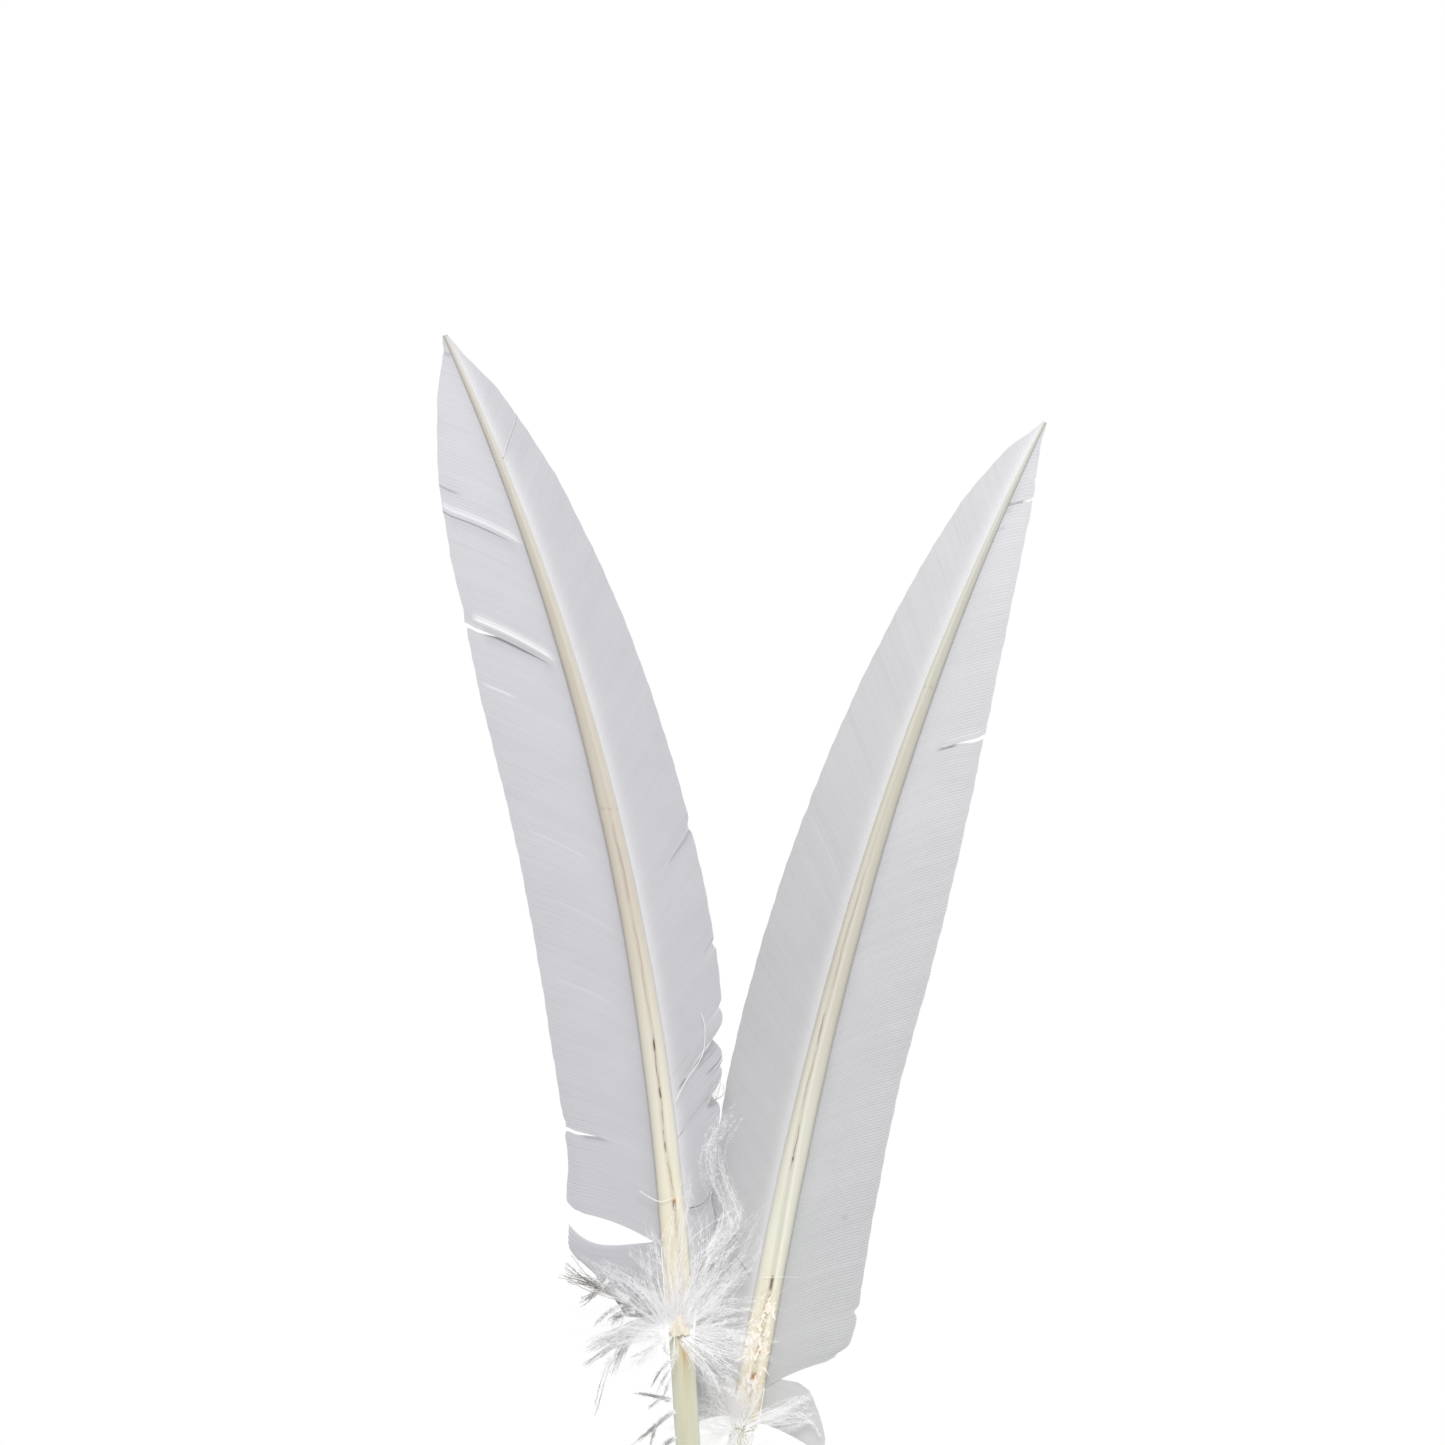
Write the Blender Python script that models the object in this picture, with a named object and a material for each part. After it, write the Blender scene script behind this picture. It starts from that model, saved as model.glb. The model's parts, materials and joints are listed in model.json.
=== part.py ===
"""A crossed pair of quill pens, each one wing feather with its barrel cut to a nib.

Metres, +Z up. +X is to the right and the ventral, grooved face of both feathers looks along -Y.
The origin is the barrel seat, between the two barrels, where a stand or an inkwell's throat holds them.
Each quill is modelled along its own barrel: local +Z runs up the barrel from the nib, local -Y is ventral.
"""

import math

import bmesh
import bpy
from mathutils import Vector

# Driving dimensions, in metres and degrees. "Reach" is measured from the middle of the shaft.
BARREL_LENGTH = 0.084
BARREL_RADIUS = 0.0030
NIB_END_RADIUS = 0.0028
BARREL_WALL = 0.00045
GAP = 0.0003
SCOOP_TOP = 0.027
SCOOP_FOOT = 0.012
SCOOP_FLOOR = 0.0009
SCOOP_DEPTH = 0.0043
TINE_FLOOR = 0.00125
SHOULDER_HEIGHT = 0.0095
NIB_HALF_WIDTH = 0.00048
SLIT_WIDTH = 0.00012
SLIT_HEIGHT = 0.0080
MEMBRANE_FOOT = 0.040
CUP_COUNT = 7
CUP_RADIUS = 0.0018
STALK_RADIUS = 0.0006
SHEATH_LENGTH = 0.0052
SHEATH_FRAY = 0.0012
SHEATH_SKIN = 0.00035
SHAFT_WALL = 0.0004
SHAFT_DEPTH_RATIO = 0.92
SHAFT_SQUARENESS = 0.7
GROOVE_DEPTH = 0.30
GROOVE_ENDS_AT = 0.6
PITH_ENDS_AT = 0.80
VANE_THICKNESS = 0.0006
VANE_ATTACHES_AT = 0.20
VANE_ROW = 0.008
SECTION_GAP = 0.0005
DOWN_THICKNESS = 0.0034
DOWN_RIM = 0.0008
DOWN_ROOT = 0.0006
DOWN_STARTS_AT = 0.0016

# A vane's reach, in mm, at fractions of the shaft's length, umbilicus to tip.
# A barb leaves the shaft at the first angle of a pair and meets the vane's edge at the second.
# The first pair is the upper vane's and the second is the umbilicus's.
# A section is its name, where its edge starts and ends up the shaft, and the wedge at its upper end.
# A tuft's outline is its reach, in mm, at angles round the umbilicus. The down slope is how fast a tuft
# comes forward as it spreads.
QUILLS = {
    "front": {
        "inner": -1,
        "nib": (-0.0017, -0.0045, -0.0272),
        "lean": -3.5,
        "tilt": 1.0,
        "length": 0.2467,
        "curl": 21.1,
        "curl_power": 1.2,
        "bow": 0.020,
        "shaft_width": (0.0066, 0.0009),
        "inner_reach": [(0, 20), (0.1, 25.6), (0.18, 23.8), (0.3, 24.2), (0.5, 23.5), (0.66, 22.6),
                        (0.8, 18.9), (0.88, 14.6), (0.95, 7.6), (1, 0.6)],
        "outer_reach": [(0, 7), (0.16, 12), (0.24, 15.6), (0.32, 18.3), (0.42, 18.8), (0.55, 17.8),
                        (0.7, 15.4), (0.84, 11.3), (0.93, 6.4), (1, 0.6)],
        "inner_angles": ((37, 50), (53, 78)),
        "outer_angles": ((35, 44), (42, 54)),
        "inner_sections": [("tip", 0.181, 0.2462, 0), ("upper", 0.052, 0.181, 0.0012),
                           ("lower", 0.031, 0.052, 0.0008)],
        "lobe": {"roots": (0.0012, 0.0165), "edges": (0.0140, 0.0255), "reach": (0.0255, 0.0240)},
        "outer_sections": [("tip", 0.223, 0.2462, 0), ("upper", 0.1185, 0.223, 0.0004),
                           ("middle", 0.068, 0.1185, 0.0008), ("torn", 0.006, 0.068, 0.0010)],
        "down_inner": [(124, 15), (150, 22), (172, 29), (190, 29), (210, 21), (236, 20), (262, 27)],
        "down_outer": [(-80, 22), (-50, 19), (-15, 17), (20, 18), (56, 22)],
        "afterfeather": [(60, 30), (78, 50), (92, 40), (120, 20)],
        "down_slope": 0.12,
    },
    "rear": {
        "inner": 1,
        "nib": (-0.0061, 0.0045, -0.0526),
        "lean": 10.0,
        "tilt": -2.0,
        "length": 0.2575,
        "curl": 16.5,
        "curl_power": 1.5,
        "bow": 0.020,
        "shaft_width": (0.0069, 0.0007),
        "inner_reach": [(0, 19), (0.1, 22.5), (0.2, 22.0), (0.35, 21.2), (0.46, 21.6), (0.57, 20.4),
                        (0.69, 17.2), (0.81, 12.2), (0.92, 6.4), (1, 0.5)],
        "outer_reach": [(0, 14), (0.14, 17), (0.3, 20.2), (0.42, 20.5), (0.56, 19.3), (0.7, 16.6),
                        (0.82, 13.2), (0.9, 10.0), (0.96, 5.6), (1, 0.5)],
        "inner_angles": ((42, 56), (50, 68)),
        "outer_angles": ((35, 44), (42, 54)),
        "inner_sections": [("tip", 0.240, 0.257, 0), ("upper", 0.1812, 0.240, 0.0012),
                           ("lower", 0.0245, 0.1812, 0.0014)],
        "lobe": {"roots": (0.0012, 0.0128), "edges": (-0.0035, 0.0120), "reach": (0.0200, 0.0132)},
        "outer_sections": [("main", 0.052, 0.257, 0), ("base", 0.0118, 0.052, 0.0006)],
        "down_inner": [(-62, 17), (-30, 19), (5, 20), (40, 17), (60, 14)],
        "down_outer": [(120, 12), (150, 10.5), (190, 10), (225, 12), (250, 17)],
        "afterfeather": [(64, 14), (90, 16), (116, 13)],
        "down_slope": 0.03,
    },
}

# The barbs are most open at the umbilicus and settle to the upper vane's angles this far up.
ANGLES_SETTLE_AT = 0.160
# How far a vane curves forward at a common reach.
CAMBER = {"inner": 0.0034, "outer": 0.0020}
CAMBER_REACH = 0.024

# Colour, roughness and, for the translucent horn, transmission.
MATERIALS = {
    "barrel_horn": ((0.80, 0.79, 0.62), 0.30, 0.3),
    "membrane": ((0.72, 0.55, 0.27), 0.60, 0.0),
    "shaft_horn": ((0.75, 0.70, 0.57), 0.45, 0.0),
    "pith": ((0.86, 0.84, 0.77), 0.90, 0.0),
    "vane_white": ((0.66, 0.66, 0.70), 0.80, 0.0),
    "down_white": ((0.82, 0.82, 0.85), 0.95, 0.0),
}


def clear_scene():
    for obj in list(bpy.data.objects):
        bpy.data.objects.remove(obj, do_unlink=True)


def material(name):
    found = bpy.data.materials.get(name)
    if found:
        return found
    colour, roughness, transmission = MATERIALS[name]
    found = bpy.data.materials.new(name)
    found.use_nodes = True
    shader = found.node_tree.nodes["Principled BSDF"]
    shader.inputs["Base Color"].default_value = (*colour, 1)
    shader.inputs["Roughness"].default_value = roughness
    shader.inputs["Metallic"].default_value = 0
    shader.inputs["Transmission Weight"].default_value = transmission
    return found


def add_body(name, parent, points, faces, finish, sharp_degrees=40):
    """One closed mesh under its quill's empty, faces out and shaded smooth."""
    mesh = bpy.data.meshes.new(name)
    mesh.from_pydata(points, [], faces)
    shape = bmesh.new()
    shape.from_mesh(mesh)
    bmesh.ops.recalc_face_normals(shape, faces=shape.faces)
    shape.to_mesh(mesh)
    shape.free()
    mesh.shade_smooth()
    mesh.set_sharp_from_angle(angle=math.radians(sharp_degrees))
    mesh.materials.append(material(finish))
    body = bpy.data.objects.new(name, mesh)
    body.parent = parent
    bpy.context.scene.collection.objects.link(body)
    return body


def loft(rings, loop_ends=False):
    """Points and faces of a skin through equal rings. It is capped, or joined last to first."""
    count = len(rings[0])
    points = [point for ring in rings for point in ring]
    faces = []
    pairs = list(zip(range(len(rings) - 1), range(1, len(rings))))
    if loop_ends:
        pairs.append((len(rings) - 1, 0))
    for low, high in pairs:
        for i in range(count):
            j = (i + 1) % count
            faces.append((low * count + i, low * count + j, high * count + j, high * count + i))
    if not loop_ends:
        faces.append(tuple(range(count)))
        faces.append(tuple(range((len(rings) - 1) * count, len(rings) * count)))
    return points, faces


def smooth_value(table, at):
    """A Catmull-Rom curve through (place, value) pairs."""
    last = len(table) - 1
    k = 0
    while k < last - 1 and at > table[k + 1][0]:
        k += 1
    x0, x1 = table[k][0], table[k + 1][0]
    y = [table[min(max(i, 0), last)][1] for i in range(k - 1, k + 3)]
    t = min(max((at - x0) / (x1 - x0), 0), 1)
    return 0.5 * (2 * y[1] + (y[2] - y[0]) * t + (2 * y[0] - 5 * y[1] + 4 * y[2] - y[3]) * t**2
                  + (3 * y[1] - y[0] - 3 * y[2] + y[3]) * t**3)


class Quill:
    """A quill's spine, in its own frame, and the places measured from it."""

    STEP = 0.0005

    def __init__(self, name, facts):
        self.name = name
        self.facts = facts
        self.length = facts["length"]
        self.empty = bpy.data.objects.new(f"{name}_quill", None)
        self.empty.location = facts["nib"]
        self.empty.rotation_euler = (math.radians(facts["tilt"]), math.radians(facts["lean"]), 0)
        bpy.context.scene.collection.objects.link(self.empty)
        x = z = 0.0
        self.track = []
        for k in range(int(self.length / self.STEP) + 2):
            self.track.append((x, z))
            angle = self.lean_at((k + 0.5) * self.STEP)
            x += math.sin(angle) * self.STEP
            z += math.cos(angle) * self.STEP

    def lean_at(self, s):
        share = min(max(s / self.length, 0), 1)
        curl = math.radians(self.facts["curl"]) * share ** self.facts["curl_power"]
        return self.facts["inner"] * curl

    def spine(self, s):
        """The point s metres up the shaft from the umbilicus. Below it lies the straight barrel."""
        if s <= 0:
            return Vector((0, 0, BARREL_LENGTH + s))
        k = min(int(s / self.STEP), len(self.track) - 2)
        t = s / self.STEP - k
        x = self.track[k][0] * (1 - t) + self.track[k + 1][0] * t
        z = self.track[k][1] * (1 - t) + self.track[k + 1][1] * t
        bow = self.facts["bow"] * (s / self.length) ** 2
        return Vector((x, -bow, BARREL_LENGTH + z))

    def axes(self, s):
        """Unit vectors at s: to the right, dorsal, and up the shaft."""
        up = (self.spine(s + 0.001) - self.spine(s - 0.001)).normalized()
        dorsal = (Vector((0, 1, 0)) - up * up.y).normalized()
        return dorsal.cross(up), dorsal, up

    def width(self, s):
        base, tip = self.facts["shaft_width"]
        share = min(max(s / self.length, 0), 1)
        return tip + (base - tip) * (1 - share**1.5)

    def place(self, s, across, dorsal):
        right, back, _ = self.axes(s)
        return self.spine(s) + right * across + back * dorsal


def shaft_ring(quill, s, inset, corners=14):
    """The shaft's section at s: a rounded square with the ventral groove, moved inwards by inset."""
    half = quill.width(s) / 2 - inset
    depth = quill.width(s) / 2 * SHAFT_DEPTH_RATIO - inset
    groove = GROOVE_DEPTH * depth * max(0, 1 - s / quill.length / GROOVE_ENDS_AT)
    ring = []
    for k in range(corners):
        angle = 2 * math.pi * k / corners - math.pi / 2
        c, d = math.cos(angle), math.sin(angle)
        x = half * math.copysign(abs(c) ** SHAFT_SQUARENESS, c)
        y = depth * math.copysign(abs(d) ** SHAFT_SQUARENESS, d)
        if k == 0:
            x, y = 0, y + groove
        ring.append(quill.place(s, x, y))
    return ring


def shaft_stations(start, end, count):
    return [start + (end - start) * k / (count - 1) for k in range(count)]


def make_shaft(quill):
    """The horny shell of the shaft, open at its foot, and the pith that fills it."""
    top = quill.length
    outer = [shaft_ring(quill, s, 0) for s in shaft_stations(GAP, top, 26)]
    inner = [shaft_ring(quill, s, SHAFT_WALL) for s in shaft_stations(GAP, top * PITH_ENDS_AT, 20)]
    rings = inner[::-1] + outer
    points, faces = loft(rings)
    add_body(f"{quill.name}_shaft", quill.empty, points, faces, "shaft_horn")
    pith_top = top * PITH_ENDS_AT - GAP
    pith = [shaft_ring(quill, s, SHAFT_WALL + GAP) for s in shaft_stations(GAP, pith_top, 20)]
    points, faces = loft(pith)
    add_body(f"{quill.name}_shaft_pith", quill.empty, points, faces, "pith")


def circle(radius, height, corners=24):
    angles = [2 * math.pi * (k + 0.5) / corners for k in range(corners)]
    return [Vector((radius * math.cos(a), radius * math.sin(a), height)) for a in angles]


def cutter(name, quill, outline, along, half):
    """A hidden prism: a flat outline in the plane across "along" ("X" or "Y"), run half each way."""
    rings = []
    for end in (-half, half):
        if along == "X":
            rings.append([Vector((end, a, z)) for a, z in outline])
        else:
            rings.append([Vector((a, end + BARREL_RADIUS, z)) for a, z in outline])
    points, faces = loft(rings)
    tool = add_body(name, quill.empty, points, faces, "barrel_horn")
    tool.hide_render = True
    tool.display_type = "WIRE"
    return tool


def nib_cutters(quill):
    """The long scoop on the ventral side, the two shoulders, and the slit between the tines."""
    quarter = [math.radians(90 * k / 8) for k in range(9)]
    below = -0.002
    far = 0.006
    scoop = [(-far, below), (TINE_FLOOR, below), (TINE_FLOOR, SHOULDER_HEIGHT * 0.6)]
    for a in quarter:
        height = SCOOP_FOOT + (SCOOP_TOP - SCOOP_FOOT) * math.sin(a)
        scoop.append((SCOOP_FLOOR - SCOOP_DEPTH * (1 - math.cos(a)), height))
    scoop.append((-far, SCOOP_TOP))
    tools = [cutter(f"{quill.name}_scoop_cutter", quill, scoop, "X", far)]
    widest = BARREL_RADIUS + GAP
    for label, sign in (("left", -1), ("right", 1)):
        side = [(sign * far, below), (sign * NIB_HALF_WIDTH, below)]
        side += [(sign * (widest - (widest - NIB_HALF_WIDTH) * math.cos(a)), SHOULDER_HEIGHT * math.sin(a))
                 for a in quarter]
        side.append((sign * far, SHOULDER_HEIGHT))
        tools.append(cutter(f"{quill.name}_{label}_shoulder_cutter", quill, side, "Y", BARREL_RADIUS - GAP))
    half = SLIT_WIDTH / 2
    slit = [(-half, below), (half, below), (half, SLIT_HEIGHT), (-half, SLIT_HEIGHT)]
    tools.append(cutter(f"{quill.name}_slit_cutter", quill, slit, "Y", BARREL_RADIUS - GAP))
    return tools


def make_barrel(quill):
    """The hollow barrel, open at both ends, with the nib cut into its foot."""
    heights = [(0, NIB_END_RADIUS), (0.030, BARREL_RADIUS), (BARREL_LENGTH, BARREL_RADIUS)]
    outer = [circle(radius, z) for z, radius in heights]
    inner = [circle(radius - BARREL_WALL, z) for z, radius in heights[::-1]]
    points, faces = loft(outer + inner, loop_ends=True)
    barrel = add_body(f"{quill.name}_barrel", quill.empty, points, faces, "barrel_horn")
    for tool in nib_cutters(quill):
        cut = barrel.modifiers.new(tool.name, "BOOLEAN")
        cut.operation = "DIFFERENCE"
        cut.solver = "EXACT"
        cut.object = tool


def make_membrane(quill):
    """The dried core that stays in the barrel, a thin stalk with a row of cups."""
    foot, top = MEMBRANE_FOOT, BARREL_LENGTH - 0.002
    rings = [circle(STALK_RADIUS / 2, foot, 12)]
    for k in range(CUP_COUNT):
        low = foot + (top - foot) * (k + 0.15) / CUP_COUNT
        high = foot + (top - foot) * (k + 0.85) / CUP_COUNT
        rings += [circle(STALK_RADIUS, low, 12), circle(CUP_RADIUS, high, 12),
                  circle(CUP_RADIUS * 5 / 9, high + 0.0002, 12)]
    points, faces = loft(rings)
    add_body(f"{quill.name}_barrel_membrane", quill.empty, points, faces, "membrane")


def make_umbilicus_sheath(quill):
    """A dry skin that wraps the ventral half of the barrel's head."""
    inner = BARREL_RADIUS + GAP
    outer = inner + SHEATH_SKIN
    rings = []
    for k in range(13):
        angle = math.radians(-90 - 84 + 14 * k)
        ragged = SHEATH_FRAY * (1 + math.sin(3.1 * k)) / 2
        low, high = BARREL_LENGTH - SHEATH_LENGTH + ragged, BARREL_LENGTH - 0.0002
        corners = ((inner, low), (outer, low), (outer, high), (inner, high))
        rings.append([Vector((r * math.cos(angle), r * math.sin(angle), z)) for r, z in corners])
    points, faces = loft(rings)
    add_body(f"{quill.name}_umbilicus_sheath", quill.empty, points, faces, "down_white")


def make_shaft_sheath(quill, low, high):
    """A frayed skin over the grooved face of the shaft."""
    covers = 0.72
    rings = []
    for s in shaft_stations(low, high, 9):
        half = quill.width(s) / 2 * covers
        back = -quill.width(s) / 2 * SHAFT_DEPTH_RATIO - GAP
        front = back - SHEATH_SKIN
        corners = ((-half, back), (half, back), (half, front), (0, front - SHEATH_SKIN), (-half, front))
        rings.append([quill.place(s, x, y) for x, y in corners])
    points, faces = loft(rings)
    add_body(f"{quill.name}_shaft_sheath", quill.empty, points, faces, "pith")


def barb_run(first, last, out):
    """How far a barb has gone up the shaft per metre of reach, at this share of the way out."""
    now = first + (last - first) * out
    return math.log(math.sin(now) / math.sin(first)) / (last - first)


def barb_angles(quill, side, edge):
    upper, foot = quill.facts[f"{side}_angles"]
    open_share = max(0, 1 - edge / ANGLES_SETTLE_AT)
    return [math.radians(u + (f - u) * open_share) for u, f in zip(upper, foot)]


def section_barb(quill, side, edge):
    """Where the barb that ends at this place up the shaft is rooted, its reach and its course."""
    reach = smooth_value(quill.facts[f"{side}_reach"], edge / quill.length) / 1000
    first, last = barb_angles(quill, side, edge)
    full = barb_run(first, last, 1)
    root = edge - (reach - quill.width(edge) / 2 - GAP) * full
    return root, reach, lambda out: barb_run(first, last, out) / full


def vane_body(name, quill, sign, camber, barbs):
    """A thin curved plate through barbs given as (root, edge, reach, course, drop at the edge)."""
    columns = 5
    rings = []
    for root, edge, reach, course, drop in barbs:
        start = quill.width(root) / 2 + GAP
        attach = VANE_ATTACHES_AT * quill.width(root) * SHAFT_DEPTH_RATIO
        front, back = [], []
        for column in range(columns):
            out = column / (columns - 1)
            across = start + max(reach - start, 0.0004) * out
            along = root + (edge - root) * course(out) - drop * out
            lift = attach * (1 - out) - camber * (across / CAMBER_REACH) ** 2
            right, dorsal, _ = quill.axes(along)
            middle = quill.spine(along) + right * sign * across + dorsal * lift
            front.append(middle - dorsal * VANE_THICKNESS / 2)
            back.append(middle + dorsal * VANE_THICKNESS / 2)
        rings.append(front + back[::-1])
    points, faces = loft(rings)
    add_body(name, quill.empty, points, faces, "vane_white")


def make_vane_section(quill, side, label, low, high, opening):
    """One run of barbs hooked together, from the shaft to the vane's edge between two splits."""
    sign = quill.facts["inner"] * (1 if side == "inner" else -1)
    rows = max(4, round((high - low) / VANE_ROW))
    barbs = []
    for row in range(rows):
        share = row / (rows - 1)
        edge = low + SECTION_GAP / 2 + (high - low - SECTION_GAP) * share
        root, reach, course = section_barb(quill, side, edge)
        barbs.append((root, edge, reach, course, opening * share**2))
    vane_body(f"{quill.name}_{side}_vane_{label}", quill, sign, CAMBER[side], barbs)


def make_lobe(quill):
    """The loose lowest run of the inner vane, below its deepest split."""
    lobe = quill.facts["lobe"]
    rows = 5
    barbs = []
    for row in range(rows):
        share = row / (rows - 1)
        root, edge, reach = (low + (high - low) * share for low, high in
                             (lobe["roots"], lobe["edges"], lobe["reach"]))
        barbs.append((root, edge, reach, lambda out: out**0.8, 0))
    vane_body(f"{quill.name}_inner_vane_lobe", quill, quill.facts["inner"], CAMBER["inner"], barbs)


def make_down(quill, label):
    """A tuft's soft volume: a fan round the umbilicus, ahead of the ventral face, thinning to its rim."""
    outline = quill.facts[label]
    centre = Vector((0, 0, BARREL_LENGTH))
    first, last = outline[0][0], outline[-1][0]
    spokes = max(6, round((last - first) / 14))
    rings = []
    for k in range(spokes):
        angle = first + (last - first) * k / (spokes - 1)
        radius = smooth_value(outline, angle) / 1000
        turn = math.radians(angle)
        near, far = [], []
        steps = ((DOWN_STARTS_AT, DOWN_ROOT), (radius * 0.35, DOWN_THICKNESS),
                 (radius * 0.7, DOWN_THICKNESS), (radius, DOWN_RIM))
        for r, thick in steps:
            behind = -(BARREL_RADIUS + 0.0011) - quill.facts["down_slope"] * r
            spot = centre + Vector((r * math.cos(turn), 0, r * math.sin(turn)))
            near.append(spot + Vector((0, behind, 0)))
            far.append(spot + Vector((0, behind - thick, 0)))
        rings.append(near + far[::-1])
    points, faces = loft(rings)
    add_body(f"{quill.name}_{label}", quill.empty, points, faces, "down_white")


def make_quill(name):
    quill = Quill(name, QUILLS[name])
    make_barrel(quill)
    make_membrane(quill)
    make_shaft(quill)
    for side in ("inner", "outer"):
        sections = quill.facts[f"{side}_sections"]
        for label, low, high, opening in sections:
            make_vane_section(quill, side, label, low, high, opening)
    make_lobe(quill)
    for label in ("down_inner", "down_outer", "afterfeather"):
        make_down(quill, label)
    return quill


clear_scene()
make_umbilicus_sheath(make_quill("front"))
make_shaft_sheath(make_quill("rear"), 0.008, 0.032)
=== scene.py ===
"""The looks of a crossed pair of quill pens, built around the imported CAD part.

Metres, +Z up and +X to the right. The grooved ventral faces look along -Y, towards the camera.
A quill is measured from its umbilicus, where the barrel ends and the shaft begins: s runs up the
shaft, "across" is the distance out from the shaft's middle, and "dorsal" is towards the back.
A barb is named by its edge: the place up the shaft where its tip meets the vane's outline.
"""

import json
import math

import bpy
import numpy as np
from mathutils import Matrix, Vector


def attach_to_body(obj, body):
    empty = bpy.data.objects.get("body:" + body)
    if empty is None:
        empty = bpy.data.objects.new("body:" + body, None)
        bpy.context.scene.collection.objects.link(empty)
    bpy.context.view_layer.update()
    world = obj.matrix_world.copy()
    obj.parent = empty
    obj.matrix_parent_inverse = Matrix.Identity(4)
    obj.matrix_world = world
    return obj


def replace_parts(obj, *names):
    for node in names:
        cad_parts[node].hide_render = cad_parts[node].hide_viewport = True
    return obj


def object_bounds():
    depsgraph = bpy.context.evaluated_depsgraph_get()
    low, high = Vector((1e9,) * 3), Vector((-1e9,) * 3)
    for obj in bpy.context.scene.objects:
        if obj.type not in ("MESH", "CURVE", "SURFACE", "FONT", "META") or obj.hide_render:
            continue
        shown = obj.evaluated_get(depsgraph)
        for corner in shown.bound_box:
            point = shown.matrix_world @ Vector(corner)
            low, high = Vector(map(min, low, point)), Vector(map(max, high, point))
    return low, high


MM = 0.001
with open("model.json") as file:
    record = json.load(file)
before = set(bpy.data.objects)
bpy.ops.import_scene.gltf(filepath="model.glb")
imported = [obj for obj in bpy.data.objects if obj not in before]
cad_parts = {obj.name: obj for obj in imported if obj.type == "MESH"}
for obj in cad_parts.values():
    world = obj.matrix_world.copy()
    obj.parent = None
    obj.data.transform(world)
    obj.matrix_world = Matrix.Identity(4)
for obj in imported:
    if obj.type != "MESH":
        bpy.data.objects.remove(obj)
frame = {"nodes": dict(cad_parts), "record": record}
CAD_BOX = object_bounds()

# ---------------------------------------------------------------- the quills' own shape
# These repeat the CAD source's driving dimensions, so that barbs and shafts lie where its solids do.
BARREL_LENGTH = 0.084
BARREL_RADIUS = 0.0030
NIB_END_RADIUS = 0.0028
BARREL_WALL = 0.00045
GAP = 0.0003
SCOOP_TOP = 0.027
SCOOP_FOOT = 0.012
SCOOP_FLOOR = 0.0009
SCOOP_DEPTH = 0.0043
TINE_FLOOR = 0.00125
SHOULDER_HEIGHT = 0.0095
NIB_HALF_WIDTH = 0.00048
SHAFT_DEPTH_RATIO = 0.92
VANE_ATTACHES_AT = 0.20
ANGLES_SETTLE_AT = 0.160
CAMBER = {"inner": 0.0034, "outer": 0.0020}
CAMBER_REACH = 0.024
# Where a nib's edge mount lies from the barrel's foot: on the right tine, in the middle of the wall.
NIB_EDGE = (0.00027, 0.002575, 0)
# How far apart the barbs leave the shaft. The CAD's plain plates have none.
BARB_PITCH = 0.0008


# A vane's reach, in mm, at fractions of the shaft's length, umbilicus to tip. A barb leaves the shaft at
# the first angle of a pair and meets the vane's edge at the second. The first pair is the upper vane's
# and the second is the umbilicus's.
QUILLS = {
    "front": {
        "inner": -1,
        "length": 0.2467, "curl": 21.1, "curl_power": 1.2, "bow": 0.020,
        "shaft_width": (0.0066, 0.0009),
        "inner_reach": [(0, 20), (0.1, 25.6), (0.18, 23.8), (0.3, 24.2), (0.5, 23.5), (0.66, 22.6),
                        (0.8, 18.9), (0.88, 14.6), (0.95, 7.6), (1, 0.6)],
        "outer_reach": [(0, 7), (0.16, 12), (0.24, 15.6), (0.32, 18.3), (0.42, 18.8), (0.55, 17.8),
                        (0.7, 15.4), (0.84, 11.3), (0.93, 6.4), (1, 0.6)],
        "inner_angles": ((37, 50), (53, 78)),
        "outer_angles": ((35, 44), (42, 54)),
    },
    "rear": {
        "inner": 1,
        "length": 0.2575, "curl": 16.5, "curl_power": 1.5, "bow": 0.020,
        "shaft_width": (0.0069, 0.0007),
        "inner_reach": [(0, 19), (0.1, 22.5), (0.2, 22.0), (0.35, 21.2), (0.46, 21.6), (0.57, 20.4),
                        (0.69, 17.2), (0.81, 12.2), (0.92, 6.4), (1, 0.5)],
        "outer_reach": [(0, 14), (0.14, 17), (0.3, 20.2), (0.42, 20.5), (0.56, 19.3), (0.7, 16.6),
                        (0.82, 13.2), (0.9, 10.0), (0.96, 5.6), (1, 0.5)],
        "inner_angles": ((42, 56), (50, 68)),
        "outer_angles": ((35, 44), (42, 54)),
    },
}

# ---------------------------------------------------------------- what time has done to each quill
# Runs of barbs between real splits, in metres up the shaft: the piece's label, its first and last edge,
# how far its top barb sags open at the split above (mm), and over how many mm of edge it does so.
SECTIONS = {
    ("front", "inner"): [("tip", 0.1812, 0.2464, 0.0, 5), ("upper", 0.0520, 0.1808, 1.9, 7),
                         ("lower", 0.0310, 0.0516, 1.5, 5)],
    ("front", "outer"): [("tip", 0.2231, 0.2464, 0.0, 5), ("upper", 0.1187, 0.2229, 0.12, 4),
                         ("middle", 0.0682, 0.1183, 0.5, 4), ("torn", 0.0060, 0.0678, 0.5, 4)],
    ("rear", "inner"): [("tip", 0.2403, 0.2573, 0.0, 5), ("upper", 0.1815, 0.2397, 1.0, 5),
                        ("lower", 0.0205, 0.1809, 1.5, 7)],
    ("rear", "outer"): [("main", 0.0522, 0.2573, 0.0, 5), ("base", 0.0118, 0.0518, 0.3, 4)],
}

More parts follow.
